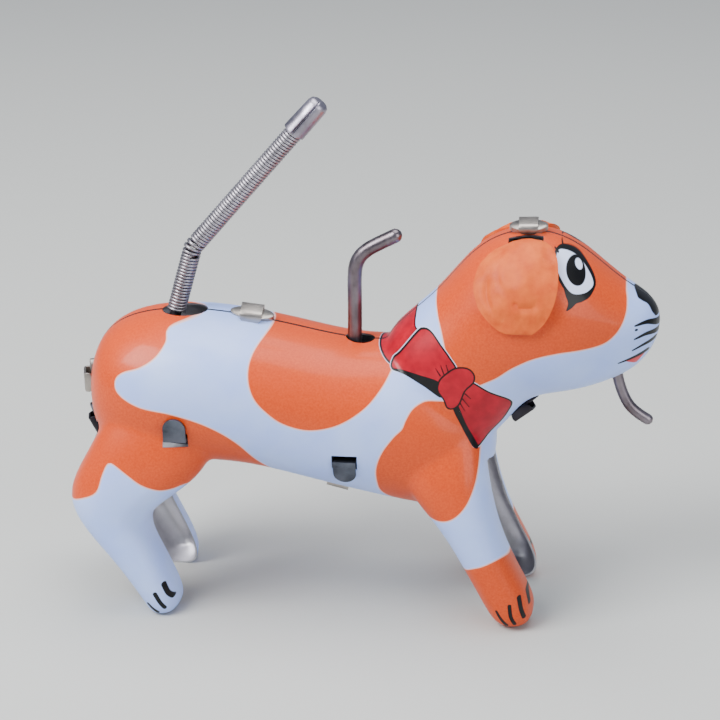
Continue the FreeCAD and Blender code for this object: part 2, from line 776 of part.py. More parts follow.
def wirePath(points, radius):
    """Straight runs joined by tangent arcs."""
    edges, start = [], points[0]
    for before, corner, after in zip(points, points[1:], points[2:]):
        back, ahead = (before - corner).normalize(), (after - corner).normalize()
        turn = math.pi - back.getAngle(ahead)
        reach = radius * math.tan(turn / 2)
        first, last = corner + back * reach, corner + ahead * reach
        bisector = (back + ahead).normalize()
        centre = corner + bisector * (radius / math.cos(turn / 2))
        middle = centre - bisector * radius
        edges.append(Part.makeLine(start, first))
        edges.append(Part.Arc(first, middle, last).toShape())
        start = last
    edges.append(Part.makeLine(start, points[-1]))
    return Part.Wire(edges)


def bentWire(points, radius, bend):
    """A round wire along a path, with a rounded far end."""
    along = (points[1] - points[0]).normalize()
    profile = Part.Wire([Part.makeCircle(radius, points[0], along)])
    wire = wirePath(points, bend).makePipeShell([profile], True, False)
    return wire.fuse(Part.makeSphere(radius, points[-1]))


# The back wire rises from its hub, leans a little and bends towards the head.
stopTop = stopPivot + Vector(0.4, 0, size("hubRadius") + 0.05)
backPoints = [stopTop, flat(-0.3, 74.2), flat(8.0, 77.4)]
backWire = doc.addObject("Part::Feature", "back_wire")
backWire.Shape = bentWire(backPoints, size("wireRadius"), size("stopBend"))
keep(backWire, "back_wire")

# Its hub turns on the stop pin and carries the brake arm that reaches the main wheel.
hubBody = newBody("StopHub")
hubDisc = sketchOn(hubBody, "XZ_Plane", "StopHubDisc", -1.8)
addHole(hubDisc, stopPivot.x, stopPivot.z, "hubRadius")
addHole(hubDisc, stopPivot.x, stopPivot.z, "hubBore")
pad(hubBody, hubDisc, "StopHubPad", "8.4")
brake = sketchOn(hubBody, "XZ_Plane", "BrakeArm", 5.4)
addOutline(brake, [(-1.6, 48.4), (-10.65, 46.3), (-10.4, 44.7), (-3.2, 45.4), (-2.7, 46.7)])
pad(hubBody, brake, "BrakePad", "Sizes.stopSheet")
doc.recompute()
keep(hubBody, "stop_hub")

# The chin wire is trapped in the jaw seam by a cross bar.
chinPoints = [flat(50.2, 57.5), flat(51.5, 49.6), flat(54.0, 43.6), flat(58.0, 40.2)]
chinWire = doc.addObject("Part::Feature", "chin_wire")
chinBar = Part.makeCylinder(size("chinRadius"), 18.0, Vector(50.2, -9.0, 57.5), Vector(0, 1, 0))
chinWire.Shape = bentWire(chinPoints, size("chinRadius"), size("chinBend")).fuse(chinBar)
keep(chinWire, "chin_wire")

# ---------------------------------------------------------------- check and write

doc.recompute()
faults = [o.Name for o in doc.Objects if "Invalid" in o.State or "Error" in o.State]
for part in finished:
    if part.Shape.isNull() or not part.Shape.isValid() or not part.Shape.Solids:
        faults.append(part.Label)
if faults:
    raise SystemExit(f"faulty objects: {faults}")
os.makedirs("parts", exist_ok=True)
for part in finished:
    part.Shape.exportStep(f"parts/{part.Label}.step")
    box = part.Shape.BoundBox
    print(f"{part.Label:20s} solids {len(part.Shape.Solids)} volume {part.Shape.Volume:8.1f}"
          f"  X {box.XMin:6.1f} {box.XMax:6.1f}  Y {box.YMin:6.1f} {box.YMax:6.1f}"
          f"  Z {box.ZMin:6.1f} {box.ZMax:6.1f}")
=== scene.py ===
import json
import math

import bmesh
import bpy
import numpy as np
from mathutils import Matrix, Vector, noise
from mathutils.bvhtree import BVHTree


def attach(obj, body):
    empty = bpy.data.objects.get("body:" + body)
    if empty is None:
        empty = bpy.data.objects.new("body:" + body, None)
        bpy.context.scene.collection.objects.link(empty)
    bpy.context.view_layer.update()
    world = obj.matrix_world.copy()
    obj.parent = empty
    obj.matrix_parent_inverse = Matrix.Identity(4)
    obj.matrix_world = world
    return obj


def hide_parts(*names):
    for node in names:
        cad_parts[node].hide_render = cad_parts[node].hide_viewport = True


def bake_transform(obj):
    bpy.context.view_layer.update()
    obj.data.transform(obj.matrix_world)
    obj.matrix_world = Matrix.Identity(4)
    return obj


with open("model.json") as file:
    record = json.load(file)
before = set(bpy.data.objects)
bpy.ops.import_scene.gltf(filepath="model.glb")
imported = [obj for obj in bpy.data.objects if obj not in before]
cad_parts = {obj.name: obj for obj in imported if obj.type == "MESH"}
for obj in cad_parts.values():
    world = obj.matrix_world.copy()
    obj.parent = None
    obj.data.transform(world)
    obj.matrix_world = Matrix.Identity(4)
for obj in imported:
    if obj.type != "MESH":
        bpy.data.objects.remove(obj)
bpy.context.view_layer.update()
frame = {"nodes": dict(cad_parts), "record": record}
nodes = frame["nodes"]
mm = 0.001


def side(x, z, y=0.0):
    return Vector((x, y, z)) * mm          # a point of the side view, given in millimetres


def newObject(name, bm):
    mesh = bpy.data.meshes.new(name)
    bm.to_mesh(mesh)
    bm.free()
    obj = bpy.data.objects.new(name, mesh)
    bpy.context.scene.collection.objects.link(obj)
    return obj


def applied(obj):
    depsgraph = bpy.context.evaluated_depsgraph_get()
    mesh = bpy.data.meshes.new_from_object(obj.evaluated_get(depsgraph))
    obj.modifiers.clear()
    obj.data = mesh
    return obj


def addModifier(obj, kind, **settings):
    modifier = obj.modifiers.new(kind.lower(), kind)
    for key, value in settings.items():
        setattr(modifier, key, value)
    return modifier


def smoothShade(obj, degrees=40):
    for polygon in obj.data.polygons:
        polygon.use_smooth = True
    obj.data.set_sharp_from_angle(angle=math.radians(degrees))


bodyShape = {
    "voxel": 0.62 * mm,
    "fullness": 2.2,          # 2 would be an ellipse
    "legFullness": 2.5,
    "legEdge": 9.0,           # inner edge of the leg channels from the seam plane, mm
    "tin": 0.38 * mm,
    "ringPoints": 40,
}
# Upper point, lower point (X, Z) and half width of each cross-section, in millimetres.
torsoRings = (
    ((-54.2, 47.6), (-54.2, 42.4), 3.6),
    ((-53.1, 53.0), (-53.1, 36.0), 8.8),
    ((-50.2, 57.0), (-50.2, 32.2), 12.6),
    ((-44.5, 60.2), (-44.5, 30.4), 15.5),
    ((-34.0, 61.4), (-34.0, 30.2), 17.0),
    ((-22.0, 60.0), (-22.0, 30.2), 17.2),
    ((-11.0, 57.8), (-11.0, 27.4), 17.0),
    ((0.0, 55.4), (0.0, 24.8), 16.6),
    ((10.0, 56.4), (10.0, 22.4), 16.0),
    ((19.0, 52.0), (19.0, 21.3), 14.8),
    ((24.9, 47.0), (24.9, 24.5), 11.8),
    ((27.8, 40.0), (27.8, 31.0), 5.0),
)
headRings = (
    ((2.5, 54.0), (18.0, 31.0), 11.0),
    ((8.6, 60.6), (27.8, 37.0), 13.6),
    ((15.6, 66.4), (31.4, 42.6), 13.8),
    ((20.6, 73.4), (34.6, 45.8), 14.4),
    ((26.6, 78.6), (38.4, 46.7), 15.2),
    ((34.5, 80.1), (42.4, 47.4), 15.4),
    ((41.6, 78.1), (46.6, 48.5), 14.0),
    ((47.2, 73.6), (50.8, 50.2), 11.6),
    ((52.4, 69.3), (54.4, 52.1), 9.4),
    ((57.0, 66.9), (57.4, 55.4), 6.8),
    ((59.3, 63.6), (59.3, 60.0), 2.2),
)
rearLegRings = (
    ((-46.0, 47.0), (-31.0, 44.5), 12.0),
    ((-51.0, 39.0), (-27.5, 37.0), 16.4),
    ((-55.2, 31.0), (-30.3, 28.8), 17.8),
    ((-58.6, 24.8), (-41.8, 21.8), 17.7),
    ((-55.6, 18.4), (-41.6, 17.4), 17.5),
    ((-49.2, 11.2), (-38.4, 11.2), 17.4),
    ((-43.9, 3.4), (-35.2, 3.8), 17.2),
    ((-42.4, 0.7), (-35.5, 0.9), 16.6),
    ((-41.3, -0.1), (-36.7, 0.0), 15.6),
)
frontLegRings = (
    ((9.4, 42.0), (22.4, 44.0), 11.6),
    ((7.8, 35.0), (25.8, 37.5), 15.2),
    ((10.2, 28.2), (26.6, 31.0), 17.2),
    ((15.4, 22.4), (28.0, 24.0), 17.6),
    ((19.0, 17.2), (30.2, 17.2), 17.5),
    ((22.2, 11.3), (33.2, 11.2), 17.4),
    ((25.2, 5.6), (36.2, 5.6), 17.3),
    ((27.1, 2.0), (36.5, 2.2), 16.9),
    ((29.1, -0.1), (35.2, 0.0), 15.6),
)


def lofted(name, rings, middleY, power):
    bm = bmesh.new()
    count = bodyShape["ringPoints"]
    loops = []
    for upper, lower, wide in rings:
        made = bmesh.ops.create_circle(bm, segments=count, radius=1.0)
        top, low = side(*upper), side(*lower)
        middle, half = (top + low) / 2, (top - low) / 2
        out = wide * mm - middleY * mm
        for vert in made["verts"]:
            across, rise = vert.co.x, vert.co.y
            across = math.copysign(abs(across) ** (2 / power), across)
            rise = math.copysign(abs(rise) ** (2 / power), rise)
            vert.co = middle + half * rise + Vector((0, -middleY * mm + out * across, 0))
        loops.append([edge for edge in bm.edges if all(v in set(made["verts"]) for v in edge.verts)])
    for first, second in zip(loops, loops[1:]):
        bmesh.ops.bridge_loops(bm, edges=first + second)
    for end in (loops[0], loops[-1]):
        bmesh.ops.contextual_create(bm, geom=end)
    bmesh.ops.recalc_face_normals(bm, faces=bm.faces)
    obj = newObject(name, bm)
    addModifier(obj, "SUBSURF", levels=2, render_levels=2)
    return applied(obj)


def bodyForm():
    forms = [
        lofted("torsoForm", torsoRings, 0.0, bodyShape["fullness"]),
        lofted("headForm", headRings, 0.0, bodyShape["fullness"]),
        lofted("rearForm", rearLegRings, bodyShape["legEdge"], bodyShape["legFullness"]),
        lofted("frontForm", frontLegRings, bodyShape["legEdge"], bodyShape["legFullness"]),
    ]
    bm = bmesh.new()
    for form in forms:
        bm.from_mesh(form.data)
        bpy.data.objects.remove(form)
    body = newObject("bodyForm", bm)
    addModifier(body, "REMESH", mode="VOXEL", voxel_size=bodyShape["voxel"], use_smooth_shade=True)
    applied(body)
    addModifier(body, "SMOOTH", factor=0.5, iterations=11)
    return applied(body)


def sheetThrough(rows):
    # A grid laid on the given rows of points.
    bm = bmesh.new()
    bmesh.ops.create_grid(bm, x_segments=len(rows[0]) - 1, y_segments=len(rows) - 1, size=1)
    for vert, place in zip(bm.verts, [place for row in rows for place in row]):
        vert.co = place
    return bm


def outline(points, y0, y1, name):
    bm = bmesh.new()
    verts = [bm.verts.new(side(x, z, y0)) for x, z in points]
    face = bm.faces.new(verts)
    grown = bmesh.ops.extrude_face_region(bm, geom=[face])
    moved = [v for v in grown["geom"] if isinstance(v, bmesh.types.BMVert)]
    bmesh.ops.translate(bm, verts=moved, vec=Vector((0, y1 - y0, 0)) * mm)
    bmesh.ops.recalc_face_normals(bm, faces=bm.faces)
    return newObject(name, bm)


def tube(centre, direction, radii, length, name, segments=48):
    bm = bmesh.new()
    bmesh.ops.create_cone(bm, cap_ends=True, segments=segments, radius1=1, radius2=1, depth=length * mm)
    bmesh.ops.scale(bm, verts=bm.verts, vec=(radii[0] * mm, radii[1] * mm, 1))
    turn = Vector((0, 0, 1)).rotation_difference(direction).to_matrix()
    bmesh.ops.rotate(bm, verts=bm.verts, matrix=turn)
    bmesh.ops.translate(bm, verts=bm.verts, vec=centre)
    return newObject(name, bm)


def block(low, high, name):
    bm = bmesh.new()
    bmesh.ops.create_cube(bm, size=1)
    low, high = Vector(low) * mm, Vector(high) * mm
    bmesh.ops.scale(bm, verts=bm.verts, vec=high - low)
    bmesh.ops.translate(bm, verts=bm.verts, vec=(low + high) / 2)
    return newObject(name, bm)


cutMark = bpy.data.materials.new("cut mark")
rearMouth = ((-51.0, 42.0), (-52.6, 38.0), (-56.4, 31.4), (-60.0, 25.0), (-58.0, 18.5), (-51.0, 8.0),
             (-45.0, -2.0), (-33.0, -2.0), (-34.2, 5.0), (-38.6, 13.5), (-40.6, 19.5), (-37.4, 22.8),
             (-30.6, 26.6), (-28.2, 32.0), (-31.0, 42.0))
frontMouth = ((12.5, 34.0), (11.6, 28.0), (14.2, 22.0), (18.2, 16.6), (22.6, 10.6), (26.2, 5.0),
              (28.6, -2.0), (39.0, -2.0), (38.4, 6.0), (36.2, 12.0), (34.0, 17.6), (31.8, 24.5),
              (30.0, 30.0), (26.5, 34.0))


def halfCutters():
    edge = -bodyShape["legEdge"]
    return [
        block((-90, -0.03, -20), (90, 60, 130), "seamCut"),
        outline(rearMouth, edge, 20, "rearMouthCut"),
        outline(frontMouth, edge, 20, "frontMouthCut"),
        tube(side(-35.1, 62.0), Vector((0, 0, 1)), (4.6, 3.9), 12, "tailCut"),
        tube(side(0.1, 57.0), Vector((0, 0, 1)), (2.9, 2.9), 12, "backCut"),
        block((49.2, -1.4, 44.0), (54.4, 1.4, 56.0), "chinCut"),
        block((-37.6, -24.0, 37.2), (-32.6, -9.0, 40.3), "rearSlotCut"),
        block((-4.1, -24.0, 33.9), (0.9, -9.0, 36.9), "frontSlotCut"),
        block((29.2, -4.9, 72.0), (36.0, -2.9, 86.0), "earSlotCut"),
    ]


def pressedSkin(form, cutters, name):
    skin = bpy.data.objects.new(name, form.data.copy())
    bpy.context.scene.collection.objects.link(skin)
    for cutter in cutters:
        cutter.data.materials.append(cutMark)
        addModifier(skin, "BOOLEAN", operation="DIFFERENCE", object=cutter, solver="EXACT",
                    material_mode="TRANSFER")
        applied(skin)
        bpy.data.objects.remove(cutter)
    bm = bmesh.new()
    bm.from_mesh(skin.data)
    marks = [i for i, slot in enumerate(skin.data.materials) if slot == cutMark]
    bmesh.ops.delete(bm, geom=[f for f in bm.faces if f.material_index in marks], context="FACES")
    bmesh.ops.dissolve_degenerate(bm, dist=0.02 * mm, edges=bm.edges)
    bm.to_mesh(skin.data)
    bm.free()
    return skin


keyHole = {"x": -20.0, "z": 43.0, "radius": 2.3}
form = bodyForm()
print("body form made")
rightSkin = pressedSkin(form, halfCutters(), "rightShell")
keyHoleCut = tube(side(keyHole["x"], keyHole["z"], -17.0), Vector((0, 1, 0)),
                  (keyHole["radius"], keyHole["radius"]), 12, "keyHoleCut")
leftSkin = pressedSkin(form, halfCutters() + [keyHoleCut], "leftShell")
print("skins cut")


# The printing: every outline is a list of (X, Z) points in millimetres on the shell's side view.
# All but the tongue's are rounded by a curve through their points.
orangePatches = (
    # rump and thigh
    ((-24, 66), (-25.5, 62.2), (-31, 60.9), (-36.9, 59.5), (-37.2, 57.5), (-39, 55), (-42, 53),
     (-45.4, 51.7), (-47, 50.2), (-46.9, 48.2), (-45, 46.6), (-41.5, 45.3), (-36, 44.6),
     (-30.5, 43.2), (-26, 41.1), (-22.6, 38.5), (-20, 35.2), (-16.5, 30), (-16.5, 24), (-26, 24.5),
     (-31, 27), (-33.6, 28.6), (-36, 28.2), (-38.6, 28.2), (-42, 29.5), (-44.8, 31.5), (-47.5, 33.3),
     (-48.7, 33.2), (-49.8, 30.8), (-51, 27.4), (-54, 25.6), (-59, 23.6), (-66, 23), (-66, 66)),
    # back
    ((-8, 66), (-13, 60.4), (-16.5, 59.3), (-18.4, 58.1), (-19.9, 56.3), (-20.6, 54), (-20.4, 51.2),
     (-19.2, 48.3), (-17, 45.9), (-13.8, 43.6), (-9.2, 42.3), (-4.6, 42.8), (-0.8, 44.4), (2.8, 47),
     (5.4, 50), (7, 52.6), (8.5, 56), (10, 66)),
    # shoulder
    ((16, 48), (13.7, 47.8), (11.6, 46.6), (10.3, 44.5), (9.6, 42.8), (8, 41.2), (5.8, 38),
     (4.6, 34.5), (4.6, 31), (5.4, 27.6), (8, 25), (13, 24), (18.4, 24), (22, 26.7), (24.2, 31.6),
     (24.9, 37.7), (24.5, 43), (22, 47), (19, 48)),
    # front paw
    ((19, 9), (23, 13.4), (25.8, 14.8), (28.6, 15.9), (30.6, 15.8), (32.5, 14.2), (34, 12),
     (37, 9.5), (44, -3), (22, -4)),
    # head
    ((15.8, 64.3), (15.2, 67), (15, 74), (30, 92), (58, 86), (53, 72), (52.3, 69.5), (52.5, 68),
     (52.4, 66), (51.6, 63.8), (50.2, 61.9), (48, 60.5), (44.3, 59.8), (39.4, 59.2), (34.9, 57.9),
     (30.8, 55.6), (27.9, 53.4), (24.8, 51.8), (21.5, 50), (18.5, 56), (16.8, 61.5)),
)
eyeShape = {
    "white": ((38.8, 77.4), (40.6, 77.2), (42.9, 75.9), (44.9, 73.7), (45.8, 71.8), (44.9, 70.8),
              (42.9, 70.6), (41.4, 71.2), (39.8, 73.2), (38.7, 75.4)),
    "lash": ((39.9, 73.0), (41.0, 71.3), (42.6, 70.5), (44.4, 70.6), (46.3, 71.6), (45.3, 69.9),
             (43.8, 69.2), (42.7, 69.0), (41.9, 68.3), (40.8, 67.8), (41.1, 69.2), (40.5, 70.8)),
    "pupil": (42.4, 74.2, 2.45, 1.65, -58),       # centre X and Z, half lengths, tilt in degrees
    "glint": (42.9, 75.1, 0.95, 0.5, -50),
}
noseShape = ((53.4, 71), (54.3, 67.9), (55.2, 67.0), (56.6, 66.0), (57.7, 64.3), (58.9, 63.5),
             (64, 63.4), (63, 72))
tongueShape = ((52.4, 56.1), (56.6, 57.3), (54.7, 54.9))
bowShapes = {
    "collar": ((3.6, 57.6), (4.6, 55.6), (7.7, 53.9), (10.2, 57), (12.3, 60), (11.2, 61.2),
               (10.6, 66), (3, 62)),
    "upperWing": ((12.1, 60.2), (13.5, 61.1), (14.9, 60.8), (16.7, 59), (18.6, 56.8), (19.7, 54.6),
                  (16.8, 51.9), (12.3, 52.9), (7.6, 53.2), (7.5, 54.6), (8.6, 55.8)),
    "lowerWing": ((22.6, 52.3), (26.2, 50.2), (30.4, 47.6), (29.8, 44.6), (28, 41.8), (24.3, 38.4),
                  (22.2, 42.6), (20.3, 47.3), (21.0, 50.4)),
    "knot": ((20, 55), (22.1, 55.1), (23.3, 54), (23.2, 52.4), (21.6, 50.6), (20.3, 47.3),
             (18.6, 46.6), (17.8, 48.4), (16.6, 50.2), (16.9, 52.2), (18.3, 53.8)),
}
bowShadows = (
    ((7.2, 53.1), (12.3, 52.9), (16.8, 51.9), (17.2, 48.7), (13.8, 50.6), (10.4, 52.1)),
    ((20.4, 47.4), (22.2, 42.6), (24.5, 38.2), (23.3, 38.6), (21.0, 42.8), (19.4, 46.6)),
)
# Pen strokes: points, half width at the start and at the end, in millimetres.
strokes = (
    (((54.1, 63.2), (56.6, 63.4), (59.2, 62.3)), 0.16, 0.66),      # whiskers
    (((54.1, 60.6), (56.4, 61.2), (58.7, 60.9)), 0.16, 0.58),
    (((53.8, 58.3), (56.0, 59.1), (58.2, 59.5)), 0.14, 0.48),
    (((51.2, 55.8), (53.6, 56.5), (56.8, 57.5)), 0.16, 0.42),      # mouth
    (((54.3, 62.4), (54.5, 62.4)), 0.22, 0.22),                    # freckle
    (((38.9, 77.3), (38.2, 77.9)), 0.18, 0.10),                    # lashes
    (((39.9, 77.6), (39.5, 78.3)), 0.16, 0.10),
    (((28.9, 4.8), (29.8, 3.1), (31.0, 1.5)), 0.26, 0.40),         # front claws
    (((31.5, 6.2), (31.8, 3.8), (32.6, 2.0)), 0.40, 0.40),
    (((33.3, 7.6), (33.8, 5.2), (34.4, 3.4)), 0.42, 0.42),
    (((34.7, 8.0), (35.1, 6.6), (35.4, 5.4)), 0.22, 0.22),
    (((-38.3, 7.2), (-37.5, 5.3), (-36.6, 4.2)), 0.44, 0.40),      # rear claws
    (((-39.9, 5.4), (-39.0, 3.6), (-38.1, 2.3)), 0.46, 0.42),
    (((-41.5, 2.9), (-40.6, 1.9), (-39.6, 1.1)), 0.34, 0.40),
    (((15.9, 54.7), (16.9, 53.3)), 0.10, 0.16),                    # folds of the bow
    (((16.9, 55.4), (17.6, 53.7)), 0.10, 0.16),
    (((18.0, 55.6), (18.5, 54.1)), 0.10, 0.16),
    (((22.9, 48.8), (21.8, 49.9)), 0.10, 0.16),
    (((22.6, 47.0), (21.3, 48.8)), 0.10, 0.16),
    (((21.8, 46.0), (20.8, 47.9)), 0.10, 0.16),
)
printing = {
    "seamLine": 0.36,        # half width of the dark line along the seam, mm
    "margin": 3.0,           # how far outside its own box an outline is measured, mm
    "far": 9.0,              # the value that stands for anywhere further, mm
    "detail": 0.55,          # the mesh is made finer within this distance of the pen work, mm
    "longEdge": 0.3 * mm, "rearLimit": -45 * mm, "seamLimit": 0.9 * mm,
}


def rounded(points, closed=True, steps=6):
    # A Catmull-Rom curve through the points.
    p = np.array(points, float)
    if closed:
        before, after, later = np.roll(p, 1, 0), np.roll(p, -1, 0), np.roll(p, -2, 0)
    else:
        before, after, later = np.vstack([p[:1], p[:-2]]), p[1:], np.vstack([p[2:], p[-1:]])
        p = p[:-1]
    square, cube = 2 * before - 5 * p + 4 * after - later, 3 * p - before - 3 * after + later
    curve = []
    for t in np.arange(steps) / steps:
        curve.append(0.5 * (2 * p + (after - before) * t + square * t ** 2 + cube * t ** 3))
    curve = np.stack(curve, 1).reshape(-1, 2)
    return curve if closed else np.vstack([curve, after[-1:]])


def toSegments(places, start, end):
    # Distance of every place to every segment, and how far along it the nearest point lies.
    along = end - start
    length = np.maximum((along ** 2).sum(1), 1e-12)
    offset = places[:, None] - start[None]
    share = np.clip((offset * along[None]).sum(2) / length[None], 0, 1)
    gap = offset - share[..., None] * along[None]
    return np.sqrt((gap ** 2).sum(2)), share


def nearOnly(places, low, high, measure):
    # A field measured only where it matters.
    field = np.full(len(places), -printing["far"])
    margin = printing["margin"]
    near = ((places > low - margin) & (places < high + margin)).all(1)
    if near.any():
        field[near] = measure(places[near])
    return field


def inside(places, points, smooth=True):
    # Millimetres to the outline, above zero inside it.
    loop = rounded(points) if smooth else np.array(points, float)
    after = np.roll(loop, -1, 0)

    def measure(near):
        distance = toSegments(near, loop, after)[0].min(1)
        startsAbove, endsAbove = loop[None, :, 1] > near[:, 1:], after[None, :, 1] > near[:, 1:]
        rise = np.where(np.abs(after[:, 1] - loop[:, 1]) < 1e-9, 1e-9, after[:, 1] - loop[:, 1])
        cross = (after[:, 0] - loop[:, 0]) * (near[:, 1:] - loop[None, :, 1]) / rise + loop[:, 0]
        odd = ((startsAbove != endsAbove) & (near[:, :1] < cross)).sum(1) % 2
        return np.where(odd == 1, distance, -distance)
    return nearOnly(places, loop.min(0), loop.max(0), measure)


def onStroke(places, points, startWide, endWide):
    line = rounded(points, closed=False)

    def measure(near):
        distance, share = toSegments(near, line[:-1], line[1:])
        nearest = distance.argmin(1)
        rows = np.arange(len(near))
        along = (nearest + share[rows, nearest]) / (len(line) - 1)
        return startWide + (endWide - startWide) * along - distance[rows, nearest]
    return nearOnly(places, line.min(0), line.max(0), measure)


def inOval(places, centreX, centreZ, longHalf, shortHalf, tilt):
    turn = math.radians(tilt)
    x, z = places[:, 0] - centreX, places[:, 1] - centreZ
    u = (x * math.cos(turn) + z * math.sin(turn)) / longHalf
    v = (z * math.cos(turn) - x * math.sin(turn)) / shortHalf
    return (1 - np.sqrt(u * u + v * v)) * shortHalf


def printFields(mesh):
    # One float attribute per ink, in millimetres to the edge of its area.
    flat = np.empty(len(mesh.vertices) * 3)
    mesh.vertices.foreach_get("co", flat)
    flat = flat.reshape(-1, 3) / mm
    places = flat[:, (0, 2)]
    orange = np.max([inside(places, patch) for patch in orangePatches], axis=0)
    bow = {name: inside(places, shape) for name, shape in bowShapes.items()}
    ink = [onStroke(places, *stroke) for stroke in strokes]
    ink += [inside(places, noseShape), inside(places, eyeShape["lash"])]
    ink += [np.minimum(inside(places, shape), -bow["knot"]) for shape in bowShadows]
    ink += [inOval(places, *eyeShape["pupil"]), printing["seamLine"] - np.abs(flat[:, 1])]
    ink = np.max(ink, axis=0)
    fields = {
        "orangeInk": orange,
        "eyeInk": inside(places, eyeShape["white"]),
        "collarInk": bow["collar"],
        "wingInk": np.maximum(bow["upperWing"], bow["lowerWing"]),
        "knotInk": bow["knot"],
        "pinkInk": inside(places, tongueShape, smooth=False),
        "blackInk": ink,
        "glintInk": inOval(places, *eyeShape["glint"]),
    }
    for name, values in fields.items():
        layer = mesh.attributes.get(name) or mesh.attributes.new(name, "FLOAT", "POINT")
        values = np.clip(values, -printing["far"], printing["far"])
        layer.data.foreach_set("value", values.astype(np.float32))
    return ink


def printed(skin):
    # The mesh is made finer round the pen work before the inks are laid on it.
    ink = printFields(skin.data)
    bm = bmesh.new()
    bm.from_mesh(skin.data)
    bm.verts.ensure_lookup_table()
    near = {v for v in bm.verts if abs(ink[v.index]) < printing["detail"]
            and v.co.x > printing["rearLimit"]}
    fine = [e for e in bm.edges if all(v in near for v in e.verts)
            and e.calc_length() > printing["longEdge"]
            and max(abs(v.co.y) for v in e.verts) > printing["seamLimit"]]
    bmesh.ops.subdivide_edges(bm, edges=fine, cuts=2, use_grid_fill=True)
    bm.to_mesh(skin.data)
    bm.free()
    printFields(skin.data)


def mirrored(skin):
    bm = bmesh.new()
    bm.from_mesh(skin.data)
    bmesh.ops.scale(bm, verts=bm.verts, vec=(1, -1, 1))
    bmesh.ops.reverse_faces(bm, faces=bm.faces)
    bm.to_mesh(skin.data)
    bm.free()


def colour(code):
    # An sRGB hex value as the linear colour that the shaders take.
    parts = [int(code[i:i + 2], 16) / 255 for i in (1, 3, 5)]
    return tuple(c / 12.92 if c <= 0.04045 else ((c + 0.055) / 1.055) ** 2.4 for c in parts) + (1,)


def newMaterial(name):
    material = bpy.data.materials.new(name)
    material.use_nodes = True
    tree = material.node_tree
    return material, tree, tree.nodes["Principled BSDF"]


def addNode(tree, kind, settings=(), inputs=(), links=()):
    # One node, with its settings, fixed inputs and the links into it.
    node = tree.nodes.new(kind)
    for key, value in dict(settings).items():
        setattr(node, key, value)
    for key, value in dict(inputs).items():
        node.inputs[key].default_value = value
    for key, source in dict(links).items():
        tree.links.new(source, node.inputs[key])
    return node


def blended(tree, factor, first, second):
    # A colour mix whose inputs may each be a fixed value or a socket.
    node = addNode(tree, "ShaderNodeMix", {"data_type": "RGBA"})
    for index, value in ((0, factor), (6, first), (7, second)):
        if isinstance(value, bpy.types.NodeSocket):
            tree.links.new(value, node.inputs[index])
        else:
            node.inputs[index].default_value = value
    return node.outputs[2]


def ranged(tree, source, fromMin, fromMax, toMin=0.0, toMax=1.0):
    return addNode(tree, "ShaderNodeMapRange", {}, {1: fromMin, 2: fromMax, 3: toMin, 4: toMax},
                   {0: source}).outputs[0]


def surfaceNoise(tree, sizeMm, detail=3.0, stretch=(1, 1, 1), roughness=0.5):
    # Noise whose features are about sizeMm across on the object.
    place = addNode(tree, "ShaderNodeTexCoord")
    spread = addNode(tree, "ShaderNodeMapping", {}, {"Scale": stretch},
                     {"Vector": place.outputs["Object"]})
    noise = addNode(tree, "ShaderNodeTexNoise", {},
                    {"Scale": 1 / (sizeMm * mm), "Detail": detail, "Roughness": roughness},
                    {"Vector": spread.outputs["Vector"]})
    return noise.outputs["Fac"]


def bumped(tree, shader, height, strength, depthMm):
    bump = addNode(tree, "ShaderNodeBump", {}, {"Strength": strength, "Distance": depthMm * mm},
                   {"Height": height})
    tree.links.new(bump.outputs["Normal"], shader.inputs["Normal"])


